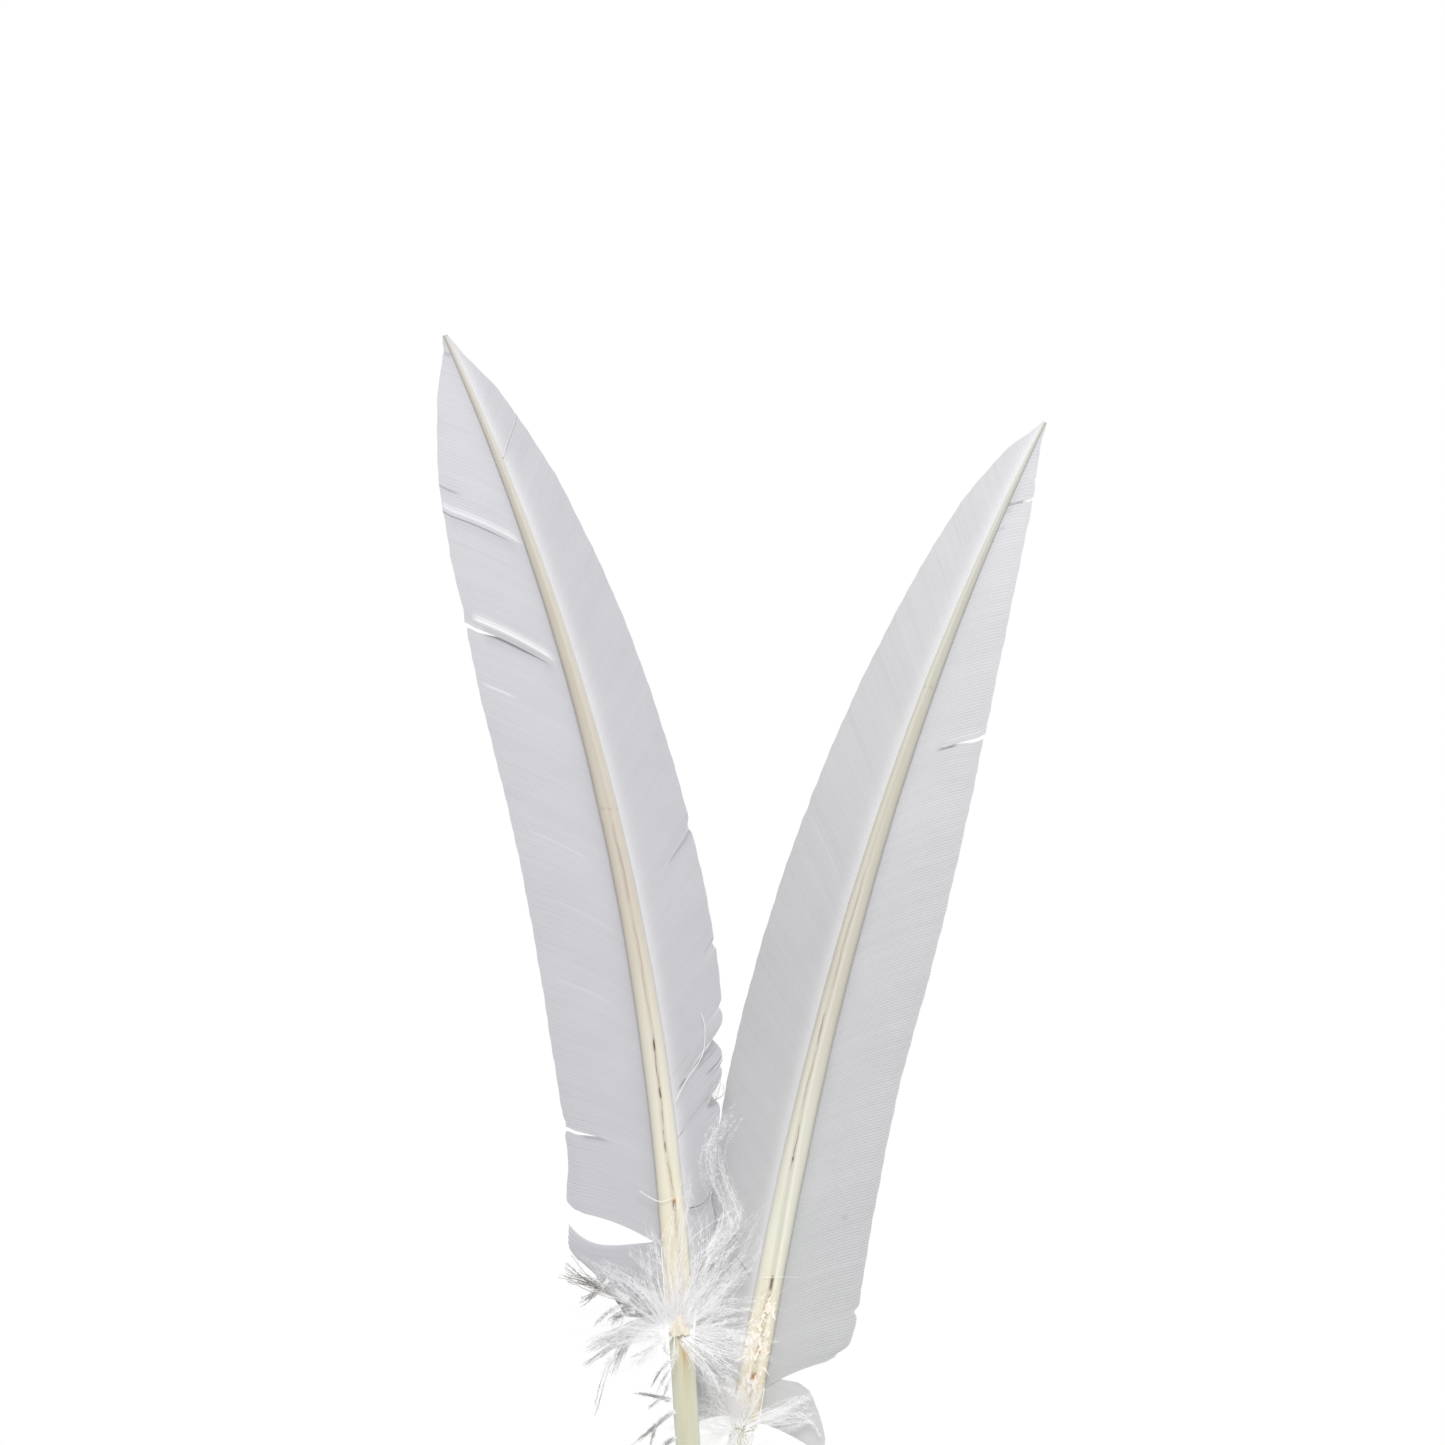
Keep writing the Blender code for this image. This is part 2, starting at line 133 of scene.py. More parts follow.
# Creases. Above one, the barbs ride up over those below: its edge (m), the height of the step (mm),
# how fast it dies away up the vane (mm of edge), and where it starts and is full, as shares of a barb.
CREASES = {
    ("front", "inner"): [(0.2080, 0.55, 3.2, 0.12, 0.45), (0.1812, 1.00, 4.2, 0.12, 0.50),
                         (0.2146, 0.25, 1.5, 0.70, 0.90), (0.0520, 0.35, 2.5, 0.60, 0.90)],
    ("front", "outer"): [(0.2230, 0.15, 1.5, 0.05, 0.20), (0.1185, 0.30, 3.0, 0.40, 0.80),
                         (0.0920, 0.10, 2.0, 0.70, 0.95), (0.0680, 0.70, 4.0, 0.30, 0.80)],
    ("rear", "inner"): [(0.2400, 0.30, 2.5, 0.05, 0.40), (0.1812, 0.60, 3.0, 0.35, 0.80)],
    ("rear", "outer"): [(0.0520, 0.20, 2.0, 0.30, 0.80)],
}

# Painted shade along lines where two barbs have come unhooked, and the painted shadow under a crease: edge
# (m), start and end as shares of a barb, darkness, and width (mm of edge).
LINES = {
    ("front", "inner"): [(0.2080, 0.18, 0.92, 0.08, 1.6), (0.1812, 0.15, 0.80, 0.12, 1.8),
                         (0.1812, 0.30, 0.80, 0.08, 0.6), (0.2146, 0.76, 0.98, 0.30, 0.5),
                         (0.2435, 0.30, 1.0, 0.22, 0.4), (0.0518, 0.55, 0.80, 0.30, 0.6)],
    ("front", "outer"): [(0.2230, 0.04, 0.42, 0.55, 0.45), (0.2230, 0.42, 1.0, 0.12, 0.4),
                         (0.2042, 0.15, 0.50, 0.10, 0.4), (0.1185, 0.62, 1.0, 0.25, 0.6),
                         (0.0920, 0.86, 1.0, 0.35, 0.5), (0.0680, 0.24, 0.38, 0.45, 0.4),
                         (0.0680, 0.60, 1.0, 0.22, 1.2), (0.0640, 0.72, 0.98, 0.35, 0.6),
                         (0.0560, 0.14, 0.24, 0.45, 0.4), (0.0335, 0.14, 0.45, 0.25, 0.45),
                         (0.0742, 0.10, 0.40, 0.14, 0.3), (0.0760, 0.12, 0.45, 0.14, 0.3),
                         (0.0778, 0.08, 0.35, 0.12, 0.3)],
    ("rear", "inner"): [(0.2400, 0.05, 0.60, 0.35, 0.5), (0.1812, 0.42, 0.60, 0.55, 0.5)]
    + [(0.2322 + 0.0010 * k, 0.0, 0.26, 0.14, 0.2) for k in range(8)],
    ("rear", "outer"): [(0.0610, 0.05, 0.22, 0.45, 0.4), (0.0480, 0.20, 0.42, 0.45, 0.4)],
}

# Painted highlights where barbs curl forward along a crease, and pale strands: as LINES, but lighter.
GLEAMS = {
    ("front", "inner"): [(0.2092, 0.10, 0.98, 0.45, 1.0), (0.1824, 0.14, 0.88, 0.65, 1.3),
                         (0.1662, 0.66, 0.92, 0.30, 0.4), (0.1290, 0.30, 0.80, 0.12, 0.4),
                         (0.1120, 0.15, 0.70, 0.10, 0.4), (0.0905, 0.30, 0.80, 0.08, 0.5)],
    ("front", "outer"): [(0.0690, 0.55, 0.95, 0.30, 0.8)],
    ("rear", "inner"): [(0.1822, 0.50, 0.95, 0.20, 0.6)],
    ("rear", "outer"): [(0.1500, 0.30, 0.90, 0.10, 0.5)],
}

# Specks and stains: s (m), across (mm), radius (mm) and darkness.
SPOTS = {("rear", "inner"): [(0.0553, 15.0, 0.40, 0.45), (0.0683, 9.2, 0.35, 0.18)]}

# Bites out of a vane's outline: edge (m), half width (mm of edge), depth (mm).
BITES = {
    ("front", "inner"): [(0.2435, 0.5, 0.4), (0.1840, 2.0, 0.35), (0.0525, 1.2, 0.5), (0.0305, 1.8, 2.0)],
    ("front", "outer"): [(0.1190, 1.2, 0.7), (0.0905, 0.9, 0.7), (0.0755, 1.0, 0.7), (0.0684, 2.0, 2.3),
                         (0.0615, 0.7, 0.5), (0.0550, 2.0, 2.4), (0.0300, 3.0, 1.0)],
    ("rear", "inner"): [(0.2435, 0.8, 0.4), (0.0325, 1.0, 0.8), (0.0205, 2.4, 2.6)],
    ("rear", "outer"): [(0.1500, 2.0, 0.2)],
}

# Where the groove's bottom runs across the shaft (mm to the right), by s (m).
GROOVES = {
    "front": [(0, 0.9), (0.029, 0.75), (0.047, -0.05), (0.062, 0.32), (0.10, 0.25), (0.25, 0.0)],
    "rear": [(0, 0.1), (0.035, 0.45), (0.067, -0.40), (0.082, -0.85), (0.105, -0.80), (0.2575, 0.0)],
}

# Slits, cracks and pits down the groove: first and last s (m), half width (mm), depth (mm), darkness.
SHAFT_CRACKS = {
    "front": [(0.0560, 0.0725, 0.09, 0.15, 0.75), (0.0675, 0.0708, 0.17, 0.28, 1.0),
              (0.0560, 0.0590, 0.16, 0.28, 1.0), (0.0425, 0.0570, 0.08, 0.15, 0.60),
              (0.0428, 0.0455, 0.12, 0.20, 0.80), (0.0330, 0.0418, 0.08, 0.15, 0.50),
              (0.0283, 0.0312, 0.34, 0.33, 0.85), (0.0235, 0.0295, 0.10, 0.15, 0.35),
              (0.0720, 0.1000, 0.10, 0.12, 0.25), (0.1040, 0.1240, 0.22, 0.14, 0.20)],
    "rear": [(0.0955, 0.1040, 0.11, 0.20, 0.45), (0.0790, 0.0950, 0.09, 0.15, 0.30),
             (0.0640, 0.0760, 0.09, 0.20, 0.60), (0.0664, 0.0676, 0.16, 0.25, 0.85),
             (0.0340, 0.0378, 0.30, 0.33, 0.95), (0.0290, 0.0340, 0.10, 0.15, 0.35),
             (0.0112, 0.0136, 0.50, 0.33, 0.35), (0.1100, 0.1400, 0.12, 0.12, 0.20)],
}

# Where a faint growth mark rings each shaft (m).
NODE_MARKS = {"front": 0.1270, "rear": 0.1873}

# Amber stains on the ventral face: s (m), across (mm) and radius (mm).
AMBER_PITS = {"front": [(0.0310, 0.8, 0.5)], "rear": [(0.0123, 0.1, 0.9)]}


def smooth_value(table, at):
    """A Catmull-Rom curve through (place, value) pairs, read at an array of places."""
    xs = np.array([row[0] for row in table], float)
    ys = np.array([row[1] for row in table], float)
    last = len(xs) - 1
    k = np.clip(np.searchsorted(xs, at, side="left") - 1, 0, last - 1)
    t = np.clip((at - xs[k]) / (xs[k + 1] - xs[k]), 0, 1)
    y0, y1 = ys[np.clip(k - 1, 0, last)], ys[k]
    y2, y3 = ys[k + 1], ys[np.clip(k + 2, 0, last)]
    return 0.5 * (2 * y1 + (y2 - y0) * t + (2 * y0 - 5 * y1 + 4 * y2 - y3) * t**2
                  + (3 * y1 - y0 - 3 * y2 + y3) * t**3)


def smoothstep(low, high, at):
    t = np.clip((at - low) / (high - low), 0, 1)
    return t * t * (3 - 2 * t)


def unit(vectors):
    return vectors / np.maximum(np.linalg.norm(vectors, axis=-1, keepdims=True), 1e-12)


def turning(angle, axis):
    """A rotation about X or Y, as a matrix."""
    c, s = math.cos(angle), math.sin(angle)
    if axis == "X":
        return np.array([[1, 0, 0], [0, c, -s], [0, s, c]])
    return np.array([[c, 0, s], [0, 1, 0], [-s, 0, c]])


def barrel_place(name):
    """A barrel's foot, turn and lean (radians), from the nib edge mount that the frame's record gives."""
    edge = next(mount for mount in frame["record"]["mounts"] if mount["name"] == f"{name}_nib_edge")
    x, y, z = (-part for part in edge["axis"])
    lean, tilt = math.atan2(x, z), -math.asin(y)
    turn = turning(lean, "Y") @ turning(tilt, "X")
    return np.array(edge["pos_m"]) - turn @ NIB_EDGE, turn, lean


class Quill:
    """A quill's spine and axes in the world, read by distance up the shaft."""

    STEP = 0.00025

    def __init__(self, name):
        self.name = name
        self.facts = facts = QUILLS[name]
        self.body = f"{name}_quill"
        self.length = facts["length"]
        self.inner = facts["inner"]
        self.foot, self.turn, self.lean = barrel_place(name)
        s = np.arange(-BARREL_LENGTH, self.length + 0.012, self.STEP)
        curl = math.radians(facts["curl"]) * self.inner
        lean = curl * np.clip((s + self.STEP / 2) / self.length, 0, 1) ** facts["curl_power"]
        x = np.concatenate(([0], np.cumsum(np.sin(lean) * self.STEP)[:-1]))
        z = np.concatenate(([0], np.cumsum(np.cos(lean) * self.STEP)[:-1]))
        y = -facts["bow"] * (np.clip(s, 0, None) / self.length) ** 2
        spine = np.stack([x, y, z], 1)
        up = unit(np.gradient(spine, axis=0))
        dorsal = unit(np.array([0, 1, 0]) - up * up[:, 1:2])
        self.s = s
        self.columns = np.concatenate(
            [self.to_world(spine), np.cross(dorsal, up) @ self.turn.T, dorsal @ self.turn.T], 1)

    def to_world(self, local):
        return local @ self.turn.T + self.foot

    def read(self, s):
        """The spine's point, the right and the dorsal unit vectors at an array of places."""
        s = np.asarray(s, float)
        found = np.stack([np.interp(s, self.s, column) for column in self.columns.T], -1)
        return found[..., 0:3], found[..., 3:6], found[..., 6:9]

    def place(self, s, across, dorsal):
        """Points at s, a signed distance to the right, and a distance towards the back."""
        s, across, dorsal = np.broadcast_arrays(s, across, dorsal)
        spine, right, back = self.read(s)
        return spine + right * across[..., None] + back * dorsal[..., None]

    def width(self, s):
        base, tip = self.facts["shaft_width"]
        return tip + (base - tip) * (1 - np.clip(np.asarray(s) / self.length, 0, 1) ** 1.5)


# ---------------------------------------------------------------- meshes
def ring_faces(rings):
    """Loops and face sizes of capped skins through rings shaped (bodies, stations, corners, 3)."""
    bodies, stations, corners, _ = rings.shape
    ring = np.arange(corners)
    after = (ring + 1) % corners
    low = (np.arange(stations - 1) * corners)[:, None]
    quads = np.stack([low + ring, low + after, low + corners + after, low + corners + ring], -1)
    quads = quads.reshape(-1, 4)
    caps = np.stack([ring[::-1], (stations - 1) * corners + ring])
    points = rings[0].reshape(-1, 3)
    a, b, c = (points[quads[:, k]] - points.mean(0) for k in range(3))
    if np.einsum("ij,ij->i", a, np.cross(b, c)).sum() < 0:
        quads, caps = quads[:, ::-1], caps[:, ::-1]
    one = np.concatenate([quads.ravel(), caps.ravel()])
    loops = (np.arange(bodies) * stations * corners)[:, None] + one
    return loops.ravel(), np.tile(np.array([4] * len(quads) + [corners] * 2), bodies)


def ring_mesh(name, groups, finish, sharp=45):
    """One mesh made of closed bodies, from groups of (rings, layers).

    layers holds the per-point values that the materials read, each shaped to broadcast over the rings.
    """
    points = np.concatenate([rings.reshape(-1, 3) for rings, _ in groups])
    made, first = [], 0
    for rings, _ in groups:
        loops, sizes = ring_faces(rings)
        made.append((loops + first, sizes))
        first += rings.size // 3
    loops, sizes = (np.concatenate(part) for part in zip(*made))
    mesh = bpy.data.meshes.new(name)
    mesh.vertices.add(len(points))
    mesh.vertices.foreach_set("co", points.astype(np.float32).ravel())
    mesh.loops.add(len(loops))
    mesh.loops.foreach_set("vertex_index", loops.astype(np.int32))
    mesh.polygons.add(len(sizes))
    mesh.polygons.foreach_set("loop_start", np.concatenate(([0], np.cumsum(sizes)[:-1])).astype(np.int32))
    mesh.update(calc_edges=True)
    for label in groups[0][1]:
        values = np.concatenate([np.broadcast_to(layers[label], rings.shape[:3]).ravel()
                                 for rings, layers in groups])
        layer = mesh.attributes.new(label, "FLOAT", "POINT")
        layer.data.foreach_set("value", values.astype(np.float32))
    mesh.shade_smooth()
    mesh.set_sharp_from_angle(angle=math.radians(sharp))
    mesh.materials.append(finish)
    made = bpy.data.objects.new(name, mesh)
    bpy.context.scene.collection.objects.link(made)
    return made


def closed_piece(name, groups, finish, body, node, sharp=45):
    """A piece of the object, in place of a plain CAD node."""
    piece = ring_mesh(name, groups, finish, sharp)
    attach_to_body(piece, body)
    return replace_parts(piece, node)


def strands(paths, radii, corners=3):
    """Rings of thin tapered strands along paths (strands, stations, 3), with radii (strands, stations)."""
    along = unit(np.gradient(paths, axis=1))
    side = unit(np.cross(along, np.array([0.0, 1.0, 0.0]) + 0 * along) + 1e-9)
    up = np.cross(side, along)
    turns = np.arange(corners) * 2 * math.pi / corners
    circle = side[:, :, None] * np.cos(turns)[:, None] + up[:, :, None] * np.sin(turns)[:, None]
    return paths[:, :, None] + circle * radii[:, :, None, None]


# ---------------------------------------------------------------- materials
class Finish:
    """A Principled material built node by node."""

    def __init__(self, name, roughness, **constants):
        self.material = bpy.data.materials.new(name)
        self.material.use_nodes = True
        self.tree = self.material.node_tree
        self.shader = self.tree.nodes["Principled BSDF"]
        self.shader.inputs["Roughness"].default_value = roughness
        for socket, value in constants.items():
            self.shader.inputs[socket.replace("_", " ")].default_value = value

    def node(self, kind, **inputs):
        made = self.tree.nodes.new(kind)
        for label, value in inputs.items():
            self.feed(made.inputs[label.replace("_", " ")], value)
        return made

    def feed(self, socket, value):
        if isinstance(value, bpy.types.NodeSocket):
            self.tree.links.new(value, socket)
        else:
            socket.default_value = value

    def layer(self, name):
        made = self.tree.nodes.new("ShaderNodeAttribute")
        made.attribute_name = name
        return made.outputs["Fac"]

    def math(self, operation, a, b=0.0, c=None):
        made = self.tree.nodes.new("ShaderNodeMath")
        made.operation = operation
        for socket, value in zip(made.inputs, (a, b) if c is None else (a, b, c)):
            self.feed(socket, value)
        return made.outputs[0]

    def ramp(self, at, *stops):
        made = self.tree.nodes.new("ShaderNodeValToRGB")
        self.feed(made.inputs[0], at)
        elements = made.color_ramp.elements
        while len(elements) < len(stops):
            elements.new(0.5)
        for element, (place, colour) in zip(elements, stops):
            element.position = place
            element.color = (*colour, 1)
        return made.outputs["Color"]

    def mix(self, share, a, b, blend="MIX"):
        made = self.tree.nodes.new("ShaderNodeMix")
        made.data_type = "RGBA"
        made.blend_type = blend
        sockets = [s for s in made.inputs if s.type == "RGBA"]
        self.feed(made.inputs["Factor"], share)
        for socket, value in zip(sockets, (a, b)):
            self.feed(socket, value if isinstance(value, bpy.types.NodeSocket) else (*value, 1))
        return next(s for s in made.outputs if s.type == "RGBA")

    def noise(self, scale, detail=2.0, stretch=None):
        """Noise in the object's own metres. stretch scales X, Y and Z before it."""
        at = self.tree.nodes.new("ShaderNodeTexCoord").outputs["Object"]
        if stretch:
            at = self.node("ShaderNodeMapping", Vector=at, Scale=stretch).outputs["Vector"]
        made = self.node("ShaderNodeTexNoise", Vector=at, Scale=scale, Detail=detail)
        return made.outputs["Fac"]

    def bump(self, height, strength, distance):
        made = self.node("ShaderNodeBump", Height=height, Strength=strength, Distance=distance)
        self.feed(self.shader.inputs["Normal"], made.outputs["Normal"])

    def paint(self, colour):
        self.feed(self.shader.inputs["Base Color"], colour)
        return self.material


def grey(value):
    return (value, value, value)


def vane_finish(name, low, middle, high):
    """Cool white barbs, coloured low down, halfway and at the tip, and varied barb by barb."""
    finish = Finish(name, 0.62, Specular_IOR_Level=0.25, Sheen_Weight=0.05)
    body = finish.ramp(finish.layer("along"), (0.0, low), (0.45, middle), (1.0, high))
    mottle = finish.noise(95.0, 3.0)
    body = finish.mix(1.0, body, finish.ramp(mottle, (0.25, grey(0.965)), (0.75, grey(1.0))), "MULTIPLY")
    tone = finish.math("MULTIPLY_ADD", finish.layer("tone"), 0.5, 0.5)
    body = finish.mix(1.0, body, finish.ramp(tone, (0.0, grey(0.955)), (1.0, grey(1.0))), "MULTIPLY")
    # Painted highlight: ridges along creases, the strip by the shaft's outer side, and pale strands.
    body = finish.mix(finish.layer("gleam"), body, (0.93, 0.93, 0.95))
    # Painted shade under creases, along unhooked barbs, by the shaft and on the front lobe; specks add to
    # it.
    body = finish.mix(finish.layer("shade"), body, (0.10, 0.10, 0.12))
    barbules = finish.node("ShaderNodeTexWave", Scale=1400.0, Distortion=3.0, Detail=2.0,
                           Vector=finish.tree.nodes.new("ShaderNodeTexCoord").outputs["Object"])
    finish.bump(barbules.outputs["Fac"], 0.12, 0.00004)
    return finish.paint(body)


def shaft_finish(name, tint):
    """Cream horn, palest at its base, painted highlight on its outer edge, brown cracks. The base isn't
    tinted.
    """
    finish = Finish(name, 0.42, Specular_IOR_Level=0.3)
    along = finish.layer("along")

    def run(base, *stops):
        tinted = [(at, [min(0.95, c * t) for c, t in zip(colour, tint)]) for at, colour in stops]
        return finish.ramp(along, base, *tinted)

    bright = run((0.0, (0.87, 0.785, 0.60)), (0.19, (0.755, 0.73, 0.62)), (0.44, (0.61, 0.555, 0.48)),
                 (0.64, (0.62, 0.58, 0.50)), (1.0, (0.65, 0.62, 0.57)))
    dull = run((0.0, (0.85, 0.765, 0.58)), (0.19, (0.715, 0.69, 0.59)), (0.44, (0.575, 0.525, 0.45)),
               (0.64, (0.54, 0.50, 0.425)), (1.0, (0.52, 0.50, 0.455)))
    across = finish.layer("across")
    body = finish.mix(finish.ramp(across, (0.45, grey(0)), (0.62, grey(1))), dull, bright)
    # Painted highlight along the shaft's outer edge.
    body = finish.mix(finish.ramp(across, (0.80, grey(0)), (0.98, grey(0.75))), body, (0.84, 0.83, 0.77))
    grain = finish.noise(420.0, 4.0, (1.0, 1.0, 0.05))
    fleck = finish.ramp(grain, (0.3, (0.965, 0.955, 0.93)), (0.7, grey(1.0)))
    body = finish.mix(1.0, body, fleck, "MULTIPLY")
    # Painted shade down the groove's hollow.
    body = finish.mix(finish.layer("groove"), body, (0.42, 0.35, 0.26))
    # Painted highlight on the ridge beside the groove.
    body = finish.mix(finish.layer("gleam"), body, (0.90, 0.88, 0.80))
    body = finish.mix(finish.layer("amber"), body, (0.80, 0.50, 0.22))
    body = finish.mix(finish.layer("crack"), body, (0.13, 0.055, 0.030))
    finish.bump(grain, 0.2, 0.00005)
    return finish.paint(body)


def barrel_finish():
    """Translucent horn, greenish cream, with amber where the dried core lies against it."""
    finish = Finish("barrel_horn_clear", 0.26, Specular_IOR_Level=0.5, Transmission_Weight=0.10, IOR=1.45)
    grain = finish.noise(500.0, 4.0, (1.0, 1.0, 0.04))
    body = finish.ramp(grain, (0.30, (0.63, 0.615, 0.445)), (0.70, (0.72, 0.71, 0.545)))
    # Painted light along the tube's left and right sides.
    body = finish.mix(finish.layer("rim"), body, (0.86, 0.87, 0.74))
    body = finish.mix(finish.layer("amber"), body, (0.60, 0.37, 0.14))
    body = finish.mix(finish.layer("clear"), body, (0.72, 0.74, 0.62))
    finish.bump(grain, 0.2, 0.00005)
    return finish.paint(body)


def plain_finish(name, roughness, low, high, scale, stretch=None, **constants):
    """A mottled two-tone surface with a fine grain, for membranes, pith and dry skin."""
    finish = Finish(name, roughness, **constants)
    grain = finish.noise(scale, 4.0, stretch)
    finish.bump(grain, 0.35, 0.00008)
    return finish.paint(finish.ramp(grain, (0.30, low), (0.70, high)))


def down_finish():
    """Loose white barbs, brown-grey where matted. A faint glow stands in for light caught between hairs."""
    finish = Finish("down_fluff", 0.80, Specular_IOR_Level=0.2, Sheen_Weight=0.8, Sheen_Roughness=0.4,
                    Emission_Color=(1, 1, 1, 1), Emission_Strength=0.04)
    grain = finish.noise(700.0, 3.0)
    white = finish.ramp(grain, (0.30, (0.95, 0.945, 0.95)), (0.70, (0.99, 0.985, 0.99)))
    body = finish.mix(finish.layer("matted"), white, (0.20, 0.185, 0.165))
    return finish.paint(body)


# ---------------------------------------------------------------- vanes
def barb_run(first, last, out):
    """How far a barb has gone up the shaft per metre of reach, at this share of the way out."""
    return np.log(np.sin(first + (last - first) * out) / np.sin(first)) / (last - first)


def barb_angles(quill, side, edge):
    upper, foot = quill.facts[f"{side}_angles"]
    opening = np.clip(1 - edge / ANGLES_SETTLE_AT, 0, None)
    return [np.radians(u + (f - u) * opening) for u, f in zip(upper, foot)]


def waves(at, lengths, rng):
    """A smooth wandering value around 0, made of a few waves of these lengths."""
    total = np.zeros_like(at)
    for length in lengths:
        total += np.sin(2 * math.pi * at / length + rng.uniform(0, 2 * math.pi))
    return total / math.sqrt(len(lengths))


# The stations along a barb, as shares of its way out, closest together at its tip.
OUT = 1 - (1 - np.linspace(0, 1, 25)) ** 1.25
# How far the end of a barb hooks up the vane (m).
TIP_HOOK = 0.0006


def vane_courses(quill, side, edges, rng):
    """For each barb: its root, its reach, and how far up it is at each station on its way out."""
    reach = smooth_value(quill.facts[f"{side}_reach"], edges / quill.length) * MM
    first, last = barb_angles(quill, side, edges)
    full = barb_run(first, last, 1.0)
    root = edges - (reach - quill.width(edges) / 2 - GAP) * full
    course = barb_run(first[:, None], last[:, None], OUT) / full[:, None]
    along = root[:, None] + (edges - root)[:, None] * course
    ragged = 0.010 * MM * rng.standard_normal(len(edges)) + 0.07 * MM * waves(edges, (0.006, 0.017), rng)
    for edge, half, depth in BITES[quill.name, side]:
        ragged -= depth * MM * np.exp(-((edges - edge) / (half * MM)) ** 2)
    return root, reach + ragged, along


def line_mark(lines, edges, offset):
    """How strongly each place on each barb belongs to a list of lines along barbs."""
    mark = np.zeros((len(edges), len(OUT)))
    for edge, begin, end, strength, width in lines:
        near = np.exp(-(((edges - edge - offset * width * MM) / (width * MM)) ** 2))
        near *= (edges > edge - 1e-6) if offset > 0 else (edges < edge + 1e-6)
        span = smoothstep(begin - 0.06, begin + 0.06, OUT) * (1 - smoothstep(end - 0.02, end + 0.06, OUT))
        mark += strength * near[:, None] * span
    return mark


# How far a run's lowest barb hangs below its course, and over how much edge that dies away, in mm.
DROOPS = {("rear", "outer", "base"): (14.0, 8.0)}

# How far loose barb ends stand off the vane, in mm.
FRAYS = {("front", "outer", "torn"): 0.25, ("front", "inner", "lower"): 0.08,
         ("rear", "outer", "base"): 0.12}


def vane_lift(quill, side, edges, root, across):
    """How far towards the back each place on each barb lies, from the vane's camber and creases."""
    attach = VANE_ATTACHES_AT * quill.width(root) * SHAFT_DEPTH_RATIO
    lift = attach[:, None] * (1 - OUT) - CAMBER[side] * (across / CAMBER_REACH) ** 2
    for edge, rise, decay, begin, full in CREASES[quill.name, side]:
        above = np.where(edges >= edge - 1e-6, np.exp(-(edges - edge) / (decay * MM)), 0)
        lift -= rise * MM * above[:, None] * smoothstep(begin, full, OUT)
    return lift


def vane_marks(quill, side, edges, root, along, across):
    """How much painted shade and painted highlight each place on each barb takes, the strip by the shaft
    too.
    """
    shade = line_mark(LINES[quill.name, side], edges, -0.5)
    for s, off, radius, dark in SPOTS.get((quill.name, side), ()):
        away = ((along - s) ** 2 + (across - off * MM) ** 2) / (radius * MM) ** 2
        shade += dark * np.exp(-away)
    gleam = line_mark(GLEAMS[quill.name, side], edges, 0.3)
    beyond = np.clip(across - 0.5 * quill.width(root)[:, None], 0, None)
    beside = np.exp(-((beyond / (1.5 * MM)) ** 1.3))
    # The strip beside the shaft: a painted shadow on the inner side, a painted highlight on the outer.
    if side == "inner":
        shade += 0.05 * beside
    else:
        gleam += 0.50 * beside
    return np.clip(shade, 0, 1), np.clip(gleam, 0, 1)


def make_vane(quill, side, section, finish):
    """One run of barbs. Each is a thin closed blade, ridged along its middle, lapping its neighbour."""
    label, low, high, sag, sag_over = section
    run = (quill.name, side, label)
    rng = np.random.default_rng(int(low * 1e5) + (7 if side == "inner" else 3) + len(quill.name))
    count = max(4, round((high - low) / BARB_PITCH))
    edges = low + (high - low) * np.arange(count) / (count - 1)
    root, reach, along = vane_courses(quill, side, edges, rng)
    start = 0.30 * quill.width(root)
    across = start[:, None] + np.maximum(reach - start, GAP)[:, None] * OUT
    open_share = np.exp(-(high - edges) / (sag_over * MM))[:, None] * smoothstep(0.45, 1.0, OUT)
    along = along - sag * MM * open_share + TIP_HOOK * smoothstep(0.88, 1.0, OUT)
    droop, over = DROOPS.get(run, (0, 1))
    along = along - droop * MM * np.exp(-(edges - low) / (over * MM))[:, None] * OUT**1.2
    shade, gleam = vane_marks(quill, side, edges, root, along, across)
    lift = vane_lift(quill, side, edges, root, across)
    lift += 0.10 * MM * waves(edges[:, None] + 0.004 * OUT, (0.013, 0.031, 0.052), rng) * OUT
    lift += 0.02 * MM * rng.standard_normal(count)[:, None] * OUT
    if run in FRAYS:
        loose = FRAYS[run] * MM * OUT**3
        lift -= np.abs(waves(edges, (0.0021, 0.0047), rng))[:, None] * loose
        along = along + 0.5 * waves(edges, (0.0017, 0.0059), rng)[:, None] * loose
    sign = quill.inner * (1 if side == "inner" else -1)
    rings = blades(quill, quill.place(along, sign * across, lift), along, side)
    tone = 0.50 * waves(edges, (0.0031, 0.0075, 0.019, 0.043), rng) + 0.22 * rng.standard_normal(count)
    layers = {
        "along": (along / quill.length)[:, :, None],
        "tone": np.clip(tone, -1, 1)[:, None, None],
        "shade": shade[:, :, None],
        "gleam": gleam[:, :, None],
    }
    closed_piece(f"{quill.name}_{side}_barbs_{label}", [(rings, layers)], finish,
                 quill.body, f"{quill.name}_{side}_vane_{label}")


